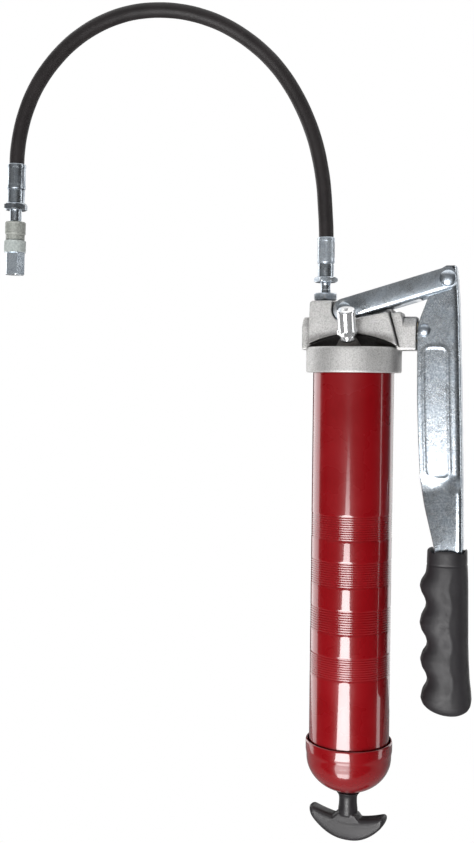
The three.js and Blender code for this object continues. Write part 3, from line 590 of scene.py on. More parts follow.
def seal_rubber():
    g = Material("seal_rubber")
    fine = g.noise(scale=1800, rough=0.6)
    colour = g.mix(g.ramp(g.noise(scale=90)), (0.016, 0.016, 0.017), (0.03, 0.03, 0.03))
    return g.done(Base_Color=colour, Roughness=g.ramp(fine, to=(0.6, 0.8)),
                  Normal=g.bump(fine, strength=0.2, distance=0.00012))


# Each look is a material and a slot name.
CAST = cast_metal(), "cast_metal"
RED = red_enamel(), "red_enamel"
ZINC = zinc("zinc_plate"), "zinc_plate"
ZINC_LEVER = zinc("zinc_lever", tone=0.93, spangle=210, rough=(0.34, 0.20), ripple=0.05,
                  speckle=0.7, metal=0.96, fold=True), "zinc_plate"
ZINC_DULL = zinc("zinc_dull", tone=1.15, spangle=330, rough=(0.5, 0.36), ripple=0.14,
                 speckle=0.35, metal=0.72), "zinc_plate"
ZINC_NOSE = zinc("zinc_nose", tone=1.12, rough=(0.32, 0.20), ripple=0.02, speckle=0.12,
                 metal=0.86, matte_above=0.0468,
                 tint=((0.36, 0.40, 0.39), (0.58, 0.62, 0.60))), "zinc_plate"
ZINC_FERRULE = zinc("zinc_ferrule", tone=1.15, spangle=330, rough=(0.40, 0.24), ripple=0.12,
                    speckle=0.45, metal=0.80), "zinc_plate"
ZINC_REAR = zinc("zinc_rear", spangle=330, rough=(0.4, 0.25), ripple=0.1, speckle=0.4,
                 metal=0.85, matte_above=0.0400), "zinc_plate"
CHROME = plain_metal("bright_chrome", base=(0.76, 0.77, 0.785), alt=(0.86, 0.87, 0.885),
                     rough=(0.09, 0.16), scale=500, bump=0.02, metallic=0.80,
                     hollow=0.0042), "bright_chrome"
STEEL = plain_metal("bright_steel", base=(0.50, 0.51, 0.52), alt=(0.60, 0.61, 0.62),
                    rough=(0.2, 0.34)), "bright_steel"
SPRING = plain_metal("spring_steel", base=(0.17, 0.17, 0.18), alt=(0.25, 0.25, 0.26),
                     rough=(0.3, 0.45)), "spring_steel"
BRASS = plain_metal("turned_brass", base=(0.58, 0.40, 0.16), alt=(0.68, 0.50, 0.22),
                    rough=(0.22, 0.36)), "brass"
PLASTIC = plastic("black_plastic", rough=(0.33, 0.46), specular=0.42), "black_plastic"
PLASTIC_GRIP = plastic("grip_plastic", rough=(0.43, 0.56), specular=0.34), "black_plastic"
HOSE = hose_rubber(), "hose_rubber"
RUBBER = seal_rubber(), "seal_rubber"


# ------------------------------------------------------------------ head casting
def head_block():
    """Main block, arched out over the collar front and back. Outline x, z."""
    outline = [(-29.9, 17.0), (-29.8, 30.4), (-29.3, 48.6), (-27.8, 50.1), (-13.4, 50.1),
               *arc(*HEAD_PIN, 8.6, 172, 296, 24),
               (3.9, 38.0), (24.2, 41.7), (25.95, 41.5), (32.8, 17.0)]
    block = bevel(prism(outline, -16, 16), 0.9, 3, 25)
    arch = [(-37, 0), *arc(0, -39.5, 66.3, 124, 56, 40), (37, 0)]
    return cut(block, prism(arch, -17, -9), prism(arch, 9, 17))


def head_lugs():
    """Middle web with the link's lug, and the raised shoulder at +X. Outlines x, z."""
    lug = [(-29.4, 17.5), (-28.3, 50.1), (-7, 50.1), *arc(*HEAD_PIN, 7.4, 52, -48, 16),
           (2.7, 37.6), (22.9, 41.3), (24.3, 44.1), (27.5, 44.2), (28.2, 41.5), (33.8, 42.2),
           (35.2, 36.4), (35.2, 17.5)]
    shoulder = [(17.1, 20.5), (17.1, 39.5), (27.2, 41.3), (34.0, 42.3), (35.5, 36.4),
                (35.5, 17.5), (31, 17.5)]
    return [prism(lug, -11.2, 11.2), bevel(prism(shoulder, -11.8, 11.8), 0.7, 3)]


def head_bosses():
    """Bosses round the plunger bore at +X and -X, kept off the collar's inside."""
    outline = fillet([(-11.8, 15.6), (11.8, 15.6), (11.8, 33), (7.2, 39.1), (-7.2, 39.1),
                      (-11.8, 33)], [1.6, 1.6, 1.2, 1.6, 1.6, 1.2], 4, closed=True)   # y, z
    smaller = [(y, 27.3 + (z - 27.3) * 0.985) for y, z in outline]
    right = bevel(prism(outline, 24, 44.6, "x"), 0.8, 3, 60)
    left = bevel(prism(smaller, -35.5, -27, "x"), 1.4, 4, 60)
    return [cut(boss, rod(31.6, 8, 17, 96)) for boss in (right, left)]


def build_head():
    collar = lathe(fillet([(0, 15), (28.95, 15), (28.95, 0), (33.6, 0), (33.6, 18), (29, 18.0),
                           (0, 18.6)], [0, 0, 0.5, 1.0, 1.6, 1, 0], 4), 160)
    core = prism([(-29, -9), (31, -9), (31, 9), (-29, 9)], 17, 24, "z")
    filler_boss = lathe(fillet([(0, -11.2), (8.8, -11.2), (8.2, -8.2), (5.9, -4.0), (0, -4.0)],
                               [0, 0.5, 1.5, 0.7, 0], 3), 64, FILLER_AT, FILLER_AXIS)
    cut(filler_boss, rod(33, 5, 16.5, 64))
    head = merge([collar, head_block(), *head_lugs(), *head_bosses(), core, filler_boss])
    voxel(head, size=0.42, rounds=7)
    groove = [(25.9, 42.6), (26.9, 42.6), (33.6, 17.9), (32.6, 17.9)]      # x, z
    cut(head,
        # plunger bore, with its packing and end plug seats
        rod(5.1, -28.5, 33.5, 64, PLUNGER_AT, X_AXIS),
        rod(8.1, 32.5, 46, 64, PLUNGER_AT, X_AXIS),
        rod(6.6, -38.5, -28, 64, PLUNGER_AT, X_AXIS),
        # outlet and its wider mouth
        rod(4.3, 34.4, 51, 48, OUTLET), rod(5.3, 44.2, 52, 48, OUTLET),
        cross_rod(3.3, HEAD_PIN),
        prism(groove, -16.5, -9.7), prism(groove, 9.7, 16.5),
        rod(3.0, 13, 27, 32, (12, 0, 0)), rod(4.3, -16, -3, 40, FILLER_AT, FILLER_AXIS),
        rod(1.8, 30, 36, 24, OUTLET))
    finish(head, "head_casting", CAST, "head", 40)


# ------------------------------------------------------------------ barrel and cap
BANDS = [(-98.9, -116.5), (-131.1, -149.0), (-164.6, -181.7), (-197.7, -213.9)]   # top, foot
BAND_PITCH = 1.65
BAND_COLUMNS = 106


def build_barrel():
    """Tube with four knurled bands."""
    def grooves(top, foot):
        return int(round((top - foot) / BAND_PITCH))

    heights = [13.2, 8.0, *np.arange(0, -88, -12.5), -225, -237, -249, -261, -270.8]
    for top, foot in BANDS:
        steps = grooves(top, foot) * 6
        heights += [top + 1.2, *np.linspace(top, foot, steps + 1), foot - 1.2]
    heights = sorted(set(round(z, 4) for z in heights), reverse=True)

    def knurl(r, t, h):
        depth = np.zeros_like(r)
        for top, foot in BANDS:
            k = grooves(top, foot)
            u = (top - h) / (top - foot)
            rows = 0.5 - 0.5 * np.cos(2 * PI * k * u)
            columns = 0.5 - 0.5 * np.cos(BAND_COLUMNS * t)
            ends = np.clip(np.minimum(u, 1 - u) * 2 * k, 0, 1)
            cut_in = 0.28 * rows ** 0.8 + 0.012 * columns ** 0.8 * ends
            depth = np.where((u >= 0) & (u <= 1), cut_in, depth)
        return r - np.where(r > 28, depth, 0)

    outer = [(BARREL_R - 0.25, BARREL_TOP), *((BARREL_R, z) for z in heights),
             (BARREL_R - 0.25, BARREL_FOOT)]
    bore = BARREL_BORE_R
    inner = [(bore + 0.2, BARREL_FOOT), (bore, -271.4), (bore, -140), (bore, 0), (bore, 13.4),
             (bore + 0.2, BARREL_TOP)]
    o = lathe(outer + inner, BAND_COLUMNS * (5), closed=True, shape=knurl)
    finish(o, "barrel_tube", RED, "head", 50)


def build_cap():
    """Rolled rim and domed end with a side notch in its hole."""
    def dome(r, depth, n):
        end = math.acos(4.7 / r)            # the dome stops at a hole of radius 4.7
        return [(r * math.cos(end * i / n), -274.2 - depth * math.sin(end * i / n))
                for i in range(n + 1)]
    rim = fillet([(28.85, -264.6), (29.75, -262.0), (30.5, -262.0), (30.9, -262.8),
                  (30.9, -269.6), (30.35, -272.0), (30.27, -273.9)],
                 [0, 0.2, 0.3, 0.6, 2.4, 2.4, 0], 6)
    wall = 1.5
    outer, inner = dome(30.25, 25.4, 48), dome(30.25 - wall, 25.4 - wall, 32)[::-1]
    o = lathe(rim + outer + inner + [(28.9, -272.4)], 192, closed=True)
    cut(o, prism([(0, -2.7), (9.4, -2.7), (9.4, 2.7), (0, 2.7)], -304, -294, "z"))
    finish(o, "end_cap", RED, "head", 40)


# ------------------------------------------------------------------ T handle
def handle_bar(n=48):
    """Crossbar along X with a crowned top, a bowed underside and rounded ends."""
    def power(c, p):
        return float(np.sign(c) * np.abs(c) ** p)
    xs = np.concatenate([[-30.25], np.linspace(-30.1, -24, 14), np.linspace(-22.5, 22.5, 31),
                         np.linspace(24, 30.1, 14), [30.25]])
    angles = 2 * PI * (np.arange(n) + 0.5) / n
    rings = []
    for x in xs:
        u = abs(x) / 30.3
        end = max(0.0, (u - 0.86) / 0.14)
        full = math.sqrt(max(0.0, 1 - end ** 2.4))
        top = -318.4 + 5.6 * u ** 1.9
        foot = -335.2 + 16.4 * u ** 2.3
        mid = (top + foot) / 2 + (1 - full) * 0.4
        half_z = max(0.25, (top - foot) / 2 * (0.12 + 0.88 * full))
        half_y = 6.1 * (0.25 + 0.75 * full)
        rings.append([(x * 0.94, half_y * power(math.cos(t), 0.5),
                       mid + half_z * power(math.sin(t), 0.62)) for t in angles])
    return loft(rings)


def build_handle():
    # the stem's flare is kept inside the bar's depth
    flare = lathe([(0, -322), (12.5, -321.0), (10.2, -318.2), (8.3, -315.6), (7.2, -313.2),
                   (0, -313.2)], 72)
    box = prism([(-13, -5.6), (13, -5.6), (13, 5.6), (-13, 5.6)], -330, -315.5, "z")
    boolean(flare, [box], "INTERSECT")
    stem = lathe([(0, -317), (6.9, -316.6), (7.0, -313.0), (6.5, -309), (6.4, -305.5),
                  (6.55, -303.6), (7.1, -302.2), (8.0, -301.0), (8.8, -300.35), (8.8, -299.95),
                  (0, -299.95)], 72)
    o = merge([handle_bar(), flare, stem])
    centre = place(0, 0, 0)
    o.data.transform(Matrix.Translation(centre) @ Matrix.Rotation(math.radians(-9), 4, "Z")
                     @ Matrix.Translation(-centre))
    voxel(o, size=0.34, rounds=34)
    cut(o, rod(4.3, -314.4, -299, 48))
    finish(o, "t_handle", PLASTIC, "rod", 45)


# ------------------------------------------------------------------ lever channel
def smooth_table(table, zs, spread):
    """Columns after z, read at zs and smoothed; spread sets the window."""
    table = np.asarray(table, float)[::-1]
    fine = np.arange(table[0, 0], table[-1, 0] + 1e-9, 0.25)
    w = int(spread * 8) | 1
    kernel = np.hanning(2 * w + 1)
    kernel /= kernel.sum()
    columns = []
    for c in range(1, table.shape[1]):
        values = np.interp(fine, table[:, 0], table[:, c])
        values = np.pad(values, w, mode="reflect", reflect_type="odd")
        columns.append(np.interp(zs, fine, np.convolve(values, kernel, "valid")))
    return np.stack(columns, 1)


# z, x of the free edges (towards the barrel), x of the back, half width, corner radius
LEVER_STATIONS = [
    (73.4, 64.2, 70.75, 11.0, 3.2), (73.0, 63.5, 70.85, 11.0, 3.6), (71.7, 60.7, 71.2, 11.0, 4.2),
    (68.6, 58.4, 71.6, 11.0, 4.4), (62.7, 56.05, 72.2, 11.0, 4.45), (52.6, 52.6, 73.05, 11.0, 4.45),
    (43.6, 49.25, 73.55, 11.0, 4.45), (38.8, 47.4, 73.75, 11.0, 4.45),
    (34.5, 46.1, 73.95, 11.0, 4.45), (30.4, 45.5, 74.1, 11.0, 4.45), (25.5, 45.35, 74.2, 11.0, 4.45),
    (7.4, 45.45, 74.9, 11.0, 4.45), (-18.45, 45.8, 75.75, 11.0, 4.45),
    (-45.9, 47.0, 76.6, 11.0, 4.45), (-73.4, 48.75, 77.3, 11.0, 4.45),
    (-91.3, 51.8, 77.65, 11.0, 4.45), (-107.8, 55.85, 78.05, 11.0, 4.45),
    (-116.7, 58.0, 78.25, 10.8, 4.45), (-128.4, 60.3, 77.9, 9.6, 4.2), (-137.2, 62.0, 77.1, 8.6, 4.0),
    (-221.4, 62.6, 77.3, 8.6, 4.0)]


def lever_section(z, xl, xr, w, r):
    """Channel outline x, y at one height, open towards the barrel."""
    t = LEVER_WALL
    ri, wi, xi = r - t, w - t, xr - t
    flat_n, arc_n = ((48, 7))

    def bead(x):
        """Stiffening bead pressed into each flange: a long rounded outline."""
        if z > 26 or z < -84:
            return 0.0
        qx, qz = abs(x - (xl + xr - r) / 2) - 3.2, abs(z + 27.0) - 40.0
        d = math.hypot(max(qx, 0), max(qz, 0)) + min(max(qx, qz), 0) - 5.2
        return 0.28 * math.exp(-(d / 1.05) ** 2)

    xs = xl + 0.45 + (xr - r - xl - 0.45) * np.linspace(0, 1, flat_n)
    back = xs[::-1]
    return [
        *((x, -w - bead(x)) for x in xs),
        *arc(xr - r, -w + r, r, -90, 0, arc_n)[1:],
        *arc(xr - r, w - r, r, 0, 90, arc_n),
        *((x, w + bead(x)) for x in back[1:]),
        (xl + 0.12, w - 0.12), (xl, w - 0.45), (xl, wi + 0.45), (xl + 0.12, wi + 0.12),
        *((x, wi + bead(x)) for x in xs),
        *arc(xi - ri, wi - ri, ri, 90, 0, arc_n)[1:],
        *arc(xi - ri, -wi + ri, ri, 0, -90, arc_n),
        *((x, -wi - bead(x)) for x in back[1:]),
        (xl + 0.12, -wi - 0.12), (xl, -wi - 0.45), (xl, -w + 0.45), (xl + 0.12, -w + 0.12)]


def build_lever():
    zs = np.concatenate([np.arange(73.4, 60, -0.6), np.arange(60, -124, -0.7),
                         np.arange(-124, -221.5, -4.0)])
    table = smooth_table(LEVER_STATIONS, zs, 1.6)
    o = loft([[(x, y, z) for x, y in lever_section(z, *row)] for z, row in zip(zs, table)])
    cut(o, cross_rod(3.5, LEVER_PIN), cross_rod(2.62, PLUNGER_PIN, 32))
    finish(o, "lever", ZINC_LEVER, "lever", 40)


# ------------------------------------------------------------------ grip
# z, x towards the barrel, x away from it, half depth across Y
GRIP_STATIONS = [
    (-122.3, 53.9, 80.9, 13.0), (-123.7, 53.6, 81.1, 13.2), (-132.3, 53.4, 81.3, 13.2),
    (-135.4, 53.2, 81.55, 13.3), (-138.6, 52.8, 81.7, 13.4), (-141.1, 51.6, 81.8, 13.4),
    (-144.2, 49.6, 81.95, 13.4), (-148.1, 48.75, 82.05, 13.4), (-152.4, 50.0, 82.15, 13.3),
    (-156.3, 52.3, 82.2, 13.2), (-159.9, 53.3, 82.3, 13.2), (-163.2, 52.8, 82.35, 13.2),
    (-168.2, 50.2, 82.4, 13.3), (-174.0, 49.0, 82.5, 13.3), (-179.1, 50.4, 82.6, 13.2),
    (-183.4, 53.3, 82.65, 13.2), (-187.2, 54.4, 82.7, 13.2), (-190.8, 53.7, 82.85, 13.2),
    (-194.7, 51.1, 83.05, 13.3), (-199.6, 49.75, 83.2, 13.4), (-205.0, 51.1, 83.55, 13.4),
    (-209.3, 53.8, 83.85, 13.4), (-213.0, 54.85, 84.1, 13.5), (-216.3, 54.2, 84.5, 13.6),
    (-221.2, 51.5, 85.15, 13.7), (-227.1, 50.4, 85.65, 13.7), (-231.4, 52.1, 85.0, 13.2),
    (-234.6, 55.6, 83.2, 11.9), (-237.0, 60.4, 79.8, 9.2), (-238.5, 65.4, 76.2, 6.0),
    (-239.0, 68.6, 73.6, 3.2)]

# z, x towards the barrel, x away from it, half width, outer corner radius
POCKET_STATIONS = [
    (-222.6, 61.6, 78.3, 9.4, 4.8), (-138.2, 61.0, 78.1, 9.4, 4.8), (-128.4, 59.0, 79.0, 10.4, 5.2),
    (-123.9, 57.3, 79.5, 11.4, 5.6), (-122.6, 56.6, 79.8, 11.9, 5.8), (-121.5, 55.9, 80.2, 12.4, 6.0)]


def grip_ring(z, xl, xr, depth, n):
    half, mid = (xr - xl) / 2, (xl + xr) / 2
    groove = 0.34 * math.exp(-((z + 132.6) / 0.42) ** 2)       # under the top collar
    lip = 0.5 * max(0, (z + 123.1) / 0.8) ** 2
    ridge_fade = min(1, max(0, (-135 - z) / 6)) * min(1, max(0, (z + 233) / 10))
    ring = []
    for t in 2 * PI * np.arange(n) / n:
        c, s = math.cos(t), math.sin(t)
        x = half * math.copysign(abs(c) ** 0.88, c)
        y = depth * math.copysign(abs(s) ** 0.76, s)
        k = 1 - (groove + lip) / math.hypot(x, y)
        # moulding seam on the collar and a soft ridge below it, front and back
        if abs(s) > 0.5:
            seam = 0.16 * math.exp(-((x + 2.4) / 0.28) ** 2) if z > -133 else 0
            y -= math.copysign(seam, y)
            y += math.copysign(0.22 * math.exp(-((x - 4.2) / 1.6) ** 2) * ridge_fade, y)
        ring.append((mid + x * k, y * k, z))
    return ring


def pocket_ring(z, xl, xr, w, r):
    """Room for the lever inside the grip."""
    outline = (arc(xl + 2, -w + 2, 2, 180, 270, 5) + arc(xr - r, -w + r, r, -90, 0, 10)
               + arc(xr - r, w - r, r, 0, 90, 10) + arc(xl + 2, w - 2, 2, 90, 180, 5))
    return [(x, y, z) for x, y in outline]


def build_grip():
    zs = np.concatenate([np.arange(-122.3, -238.2, -0.5),
                         [-238.4, -238.8, -239.0]])
    table = smooth_table(GRIP_STATIONS, zs, 0.9)
    table[0], table[-1] = GRIP_STATIONS[0][1:], GRIP_STATIONS[-1][1:]
    grip = loft([grip_ring(z, *row, 128) for z, row in zip(zs, table)])
    cut(grip, loft([pocket_ring(*row) for row in POCKET_STATIONS]))
    finish(grip, "lever_grip", PLASTIC_GRIP, "lever", 40)


# ------------------------------------------------------------------ link and rivets
def build_link():
    """U section between the head and lever pins, with its web below."""
    (ax, az), (bx, bz) = HEAD_PIN, LEVER_PIN
    angle = math.atan2(bz - az, bx - ax)
    ca, sa = math.cos(angle), math.sin(angle)
    length = math.hypot(bx - ax, bz - az)
    high = 7.7                                  # half height of the flanges
    wide, inside = LINK_HALF, LINK_HALF - LINK_WALL
    bend, bend_in = 3.6, 1.2                    # radii of the lower corners

    def at(s, t):
        """x, z at s along the link from the head pin and t above its line."""
        return (ax + s * ca - t * sa, az + s * sa + t * ca)

    floor_in = -high + LINK_WALL + bend_in
    section = [(-wide, high), *arc(-wide + bend, -high + bend, bend, 180, 270, 8),
               *arc(wide - bend, -high + bend, bend, 270, 360, 8), (wide, high),
               (inside, high), *arc(inside - bend_in, floor_in, bend_in, 0, -90, 4),
               *arc(-inside + bend_in, floor_in, bend_in, 270, 180, 4), (-inside, high)]
    rings = []
    for s in np.linspace(-9, length + 9, 24):
        x0, z0 = at(s, 0)
        rings.append([(x0 - t * sa, y, z0 + t * ca) for y, t in section])
    o = loft(rings)
    # round ends, the lever end drawn in at +X
    deg = math.degrees(angle)
    outline = arc(ax, az, high, deg + 90, deg + 270, 40)
    outline += [(bx + (x - bx) * (0.77 if x > bx else 1.0), z)
                for x, z in arc(bx, bz, high, deg - 90, deg + 90, 40)]
    boolean(o, [prism(outline, -15, 15)], "INTERSECT")
    # the web is cut away at both ends, s and t as above
    for corners in (((-20, -9.7), (14, -9.7), (12.4, 9.7), (-20, 9.7)),
                    ((52, -9.7), (length + 20, -9.7), (length + 20, 9.7), (50, 9.7))):
        cut(o, prism([at(*c) for c in corners], -inside, inside))
    cut(o, cross_rod(3.1, HEAD_PIN), cross_rod(3.3, LEVER_PIN))
    bevel(o, 0.35, 2, 40)
    finish(o, "link", ZINC, "link")


def rivet(node, body, pin, r, head_r, head_h, half, back=1.0):
    """Shank along Y with low domed heads; back scales the head at +Y."""
    def head(side):
        R = head_r * (back if side > 0 else 1.0)
        rim = half + head_h * 0.12
        points = [(R, half + 0.02), (R, rim)]
        points += [(R * math.cos(a), rim + head_h * 0.88 * math.sin(a))
                   for a in np.linspace(0.12, PI / 2 - 0.02, 18)]
        return [(a, side * b) for a, b in points + [(0, half + head_h)]]
    profile = head(-1)[::-1] + [(r, -half - 0.02), (r, half + 0.02)] + head(1)
    finish(lathe(profile, 64, (pin[0], 0, pin[1]), Y_AXIS), node, ZINC, body, 40)


def build_rivets():
    rivet("link_rivet_head", "link", HEAD_PIN, r=3.0, head_r=5.0, head_h=1.6, half=LINK_HALF)
    rivet("link_rivet_lever", "link", LEVER_PIN, r=3.2, head_r=5.7, head_h=3.2, half=LINK_HALF,
          back=0.74)
    rivet("plunger_rivet", "lever", PLUNGER_PIN, r=2.5, head_r=4.3, head_h=2.4, half=LEVER_HALF)


# ------------------------------------------------------------------ follower, springs, balls
def build_follower():
    """Gasket at the barrel's top, then the follower stack on its rod."""
    top = FOLLOWER_TOP
    cup = [(4.3, top - 6.2), (24.4, top - 6.2), (26.9, top - 4.4), (27.0, top), (25.7, top),
           (24.4, top - 3.4), (4.3, top - 3.4)]
    rod_outline = [(0, -314), (4, -314), (4, -94.2), (2.6, -93), (2.6, -88.4), (4, -87.2),
                   (4, top - 1.6), (3.0, top - 1.2), (3.0, top + 4.6), (2.4, top + 5.2),
                   (0, top + 5.2)]
    # node, look, body, segments, corner radius, closed, profile (radius, z)
    for node, look, body, n, corner, closed, profile in (
            ("barrel_gasket", RUBBER, "head", 128, 0.25, True,
             ring_profile(26.6, 28.7, 13.72, 14.88)),
            ("follower_plate", ZINC, "follower", 128, 0.25, True,
             ring_profile(4.3, 25.4, top - 7.9, top - 6.3)),
            ("follower_cup", RUBBER, "follower", 128, 0.7, True, cup),
            ("follower_washer", ZINC, "follower", 96, 0.25, True,
             ring_profile(4.3, 12, top - 3.3, top - 1.9)),
            ("follower_rod", STEEL, "rod", 64, 0.25, False, rod_outline)):
        finish(lathe(fillet(profile, corner, 3, closed), n, closed=closed), node, look, body)
    nut = hexbar(11.5, top - 1.1, top + 3.9, chamfer=0.7, phase=0, bore=3.2)
    finish(nut, "rod_nut", ZINC, "rod")


def spring(node, body, driver, anchor, keep, origin, axis, **coil):
    """Coil spring on its body; anchor is not used."""
    o = helix(origin=origin, axis=axis, **coil)
    finish(o, node, SPRING, body)
    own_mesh(o)


def build_springs():
    # the follower spring, squeezed towards the cap when the rod is drawn; the helix here is built at
    # one length
    spring("follower_spring", "head", "follower_pull", anchor=SPRING_FOOT, keep=0.215,
           origin=(0, 0, 0), axis=Z_AXIS, coil=20.6, wire=1.2, h0=SPRING_FOOT,
           h1=FOLLOWER_TOP - 8.2, turns=12.5, per=40, n=12, dead=0.75)
    spring("check_spring", "head", "check_lift", anchor=44.3, keep=0.44, origin=OUTLET,
           axis=Z_AXIS, coil=2.4, wire=0.4, h0=40.6, h1=44.3, turns=3.2, per=32, n=8, dead=0.6)
    spring("filler_spring", "head", "filler_lift", anchor=-8, keep=0.82, origin=FILLER_AT,
           axis=FILLER_AXIS, coil=1.9, wire=0.35, h0=-8, h1=10.5, turns=7, per=28, n=8,
           dead=0.75)
    spring("coupler_spring", "hose_end", "jaw_push", anchor=60.5, keep=0.58,
           origin=COUPLER_AT, axis=COUPLER_AXIS, coil=3.9, wire=0.4, h0=60.5, h1=63.1,
           turns=2.2, per=32, n=8, dead=0.4)


def build_balls():
    for node, centre, r in (("check_ball", (OUTLET_X, 0, 37.25 + OUTLET[2]), 3.2),
                            ("filler_ball", FILLER_AT + FILLER_AXIS * 13.1, 2.3)):
        angles = np.linspace(-PI / 2, PI / 2, 33)
        profile = [(r * math.cos(a), r * math.sin(a)) for a in angles]
        profile[0], profile[-1] = (0, -r), (0, r)
        finish(lathe(profile, 48, centre), node, STEEL, node)


# ------------------------------------------------------------------ plunger
def build_plunger():
    """Packing, nut and end plug of the plunger bore, and the plunger."""
    def turned(profile, n=96, **options):
        return lathe(profile, n, PLUNGER_AT, X_AXIS, **options)

    packing = fillet(ring_profile(4.87, 7.9, 32.7, 38.1), 0.25, 3, True)
    finish(turned(packing, 72, closed=True), "plunger_packing", RUBBER, "head")

    nut = turned(fillet(ring_profile(5.0, 7.9, 38.3, 44.2), 0.35, 3, True), closed=True)
    cut(nut, prism([(42.9, 18), (45, 18), (45, 40), (42.9, 40)], -1.2, 1.2))
    finish(nut, "packing_nut", BRASS, "head")

    plug = turned(fillet([(0, -28.2), (6.4, -28.2), (6.4, -35.1), (0, -35.1)],
                         [0, 0.4, 0.6, 0], 3))
    key = [(3.2 * math.cos(a), PLUNGER_AT[2] + 3.2 * math.sin(a)) for a in np.arange(6) * PI / 3]
    cut(plug, prism(key, -36.1, -32.1, "x"))
    finish(plug, "bore_end_plug", STEEL, "head")

    shaft = turned(fillet([(0, -9), (4.75, -9), (4.75, 46.2), (0, 46.2)], [0, 0.8, 0, 0], 3), 72)
    slot_low, slot_high = 25.8, 29.7            # centres of the eye's slot
    mid = (slot_low + slot_high) / 2
    lower = [(45.3, -4.4), (47.6, -7.2), (52.5, -7.2), (56.7, -3.6)]      # x, z from mid
    outline = [(x, mid + z) for x, z in lower] + [(x, mid - z) for x, z in lower[::-1]]
    eye = bevel(prism(fillet(outline, 1.6, 4, True), -6.6, 6.6), 0.5, 3, 50)
    fuse(shaft, eye)
    slot_x = PLUNGER_PIN[0] - 0.1
    cut(shaft, prism(arc(slot_x, slot_high, 2.95, 0, 180, 16)
                     + arc(slot_x, slot_low, 2.95, 180, 360, 16), -8, 8))
    finish(shaft, "plunger", STEEL, "plunger", 30)


# ------------------------------------------------------------------ outlet, ferrules, filler
def build_outlet():
    adapter = hexbar(18, 50.75, 55.8, chamfer=1.0, phase=PI / 6 + 0.12, origin=OUTLET)
    fuse(adapter, lathe([(0, 44.5), (4.6, 44.5), (5.1, 45.0), (5.1, 51.0), (4.6, 51.5),
                         (0, 51.5)], 64, OUTLET))
    cut(adapter, rod(3.85, 46.5, 57, 48, OUTLET), rod(2.2, 43, 48, 32, OUTLET))
    finish(adapter, "outlet_adapter", ZINC_DULL, "head", 30)

    stem = lathe(fillet([(0, 46.8), (3.6, 46.8), (3.6, 58), (3.35, 58.6), (3.35, 61.6),
                         (3.7, 62.6), (3.7, 64), (0, 64)], 0.5, 3), 64, OUTLET)
    sleeve = lathe(fillet([(0, 66.8), (5.75, 66.8), (5.75, 75.2), (5.5, 76.8), (1.9, 76.8),
                           (1.9, 93), (0, 93)], [0, 0, 0.8, 0.5, 0, 0.4, 0], 3), 72, OUTLET)
    fuse(stem, hexbar(17, 63.4, 67.1, chamfer=0.8, phase=0.2, origin=OUTLET), sleeve)
    cut(stem, rod(1.2, 46, 94, 24, OUTLET))
    finish(stem, "hose_stem_head", ZINC, "head", 30)


def crimp(h0, h1, turn=0.0, lobes=8, depth=0.30):
    """Flats pressed by crimp jaws between two heights; turn is a part of one lobe."""
    def shape(r, t, h):
        w = np.clip((h - h0) / 1.2, 0, 1) * np.clip((h1 - h) / 1.2, 0, 1)
        w = w * w * (3 - 2 * w)
        lobe = (t * lobes / (2 * PI) + turn) % 1.0
        off = np.abs(lobe - 0.5) * 2            # 0 mid flat, 1 at the ridge between jaws
        return np.where(r > 5.6, r - w * (depth * (1 - off ** 4)), r)
    return shape


def build_ferrules():
    profile = fillet([(5.0, 77.0), (6.05, 77.0), (6.2, 78.0), (6.2, 94.2), (5.9, 95.2),
                      (5.0, 95.2)], [0.1, 0.3, 0.3, 0.4, 0.3, 0.2], 3, True)
    o = lathe(dense_loop(profile, 0.5), 96, OUTLET, shape=crimp(79.5, 92.8), closed=True)
    finish(o, "hose_ferrule_head", ZINC_FERRULE, "head", 30)
    profile = fillet([(5.05, 0.45), (6.2, 0.45), (6.4, 1.4), (6.4, 17.4), (6.2, 18.0),
                      (5.05, 18.0)], [0.1, 0.3, 0.4, 0.3, 0.2, 0.1], 3, True)
    o = lathe(dense_loop(profile, 0.5), 96, COUPLER_AT, COUPLER_AXIS, crimp(2.6, 15.6, 0.3),
              closed=True)
    finish(o, "hose_ferrule_coupler", ZINC, "hose_end", 30)


def build_filler():
    where = FILLER_AT, FILLER_AXIS
    fitting = hexbar(14.2, -0.3, 4.3, 1.0, 0.35, *where)
    body = lathe(fillet([(0, 3.5), (6.2, 3.5), (6.2, 17.3), (5.6, 18.2), (0, 18.2)],
                        [0, 0, 0.5, 0.3, 0], 4), 96, *where)
    neck = lathe(fillet([(0, -9.4), (4.0, -9.4), (4.0, -3.5), (5.0, -3.5), (5.0, 0.6), (0, 0.6)],
                        [0, 0.4, 0, 0.3, 0, 0], 3), 64, *where)
    bore = lathe([(0, -16), (2.9, -16), (2.9, 15.6), (1.3, 16.4), (1.3, 17.3), (2.3, 18.3),
                  (2.3, 19), (0, 19)], 48, *where)
    fuse(fitting, body, neck)
    cut(fitting, bore)
    finish(fitting, "filler_fitting", CHROME, "head", 30)


# ------------------------------------------------------------------ hose
# x, z of the hose's centre line before the swing, from the outlet over to the coupler
HOSE_POINTS = [
    (OUTLET_X, 96.29), (-20.96, 100.72), (-21.67, 112.80), (-23.98, 137.97), (-30.63, 166.87),
    (-42.91, 194.56), (-58.42, 216.51), (-76.34, 232.62), (-97.09, 244.80), (-118.73, 251.65),
    (-139.88, 253.66), (-161.02, 251.35), (-181.87, 243.80), (-201.00, 231.21),
    (-216.30, 215.10), (-227.38, 197.98), (-234.73, 179.86), (-238.76, 162.64),
    (-240.27, 149.05), HOSE_END]


def run_length(points):
    return np.concatenate([[0], np.cumsum(np.linalg.norm(np.diff(points, axis=0), axis=1))])


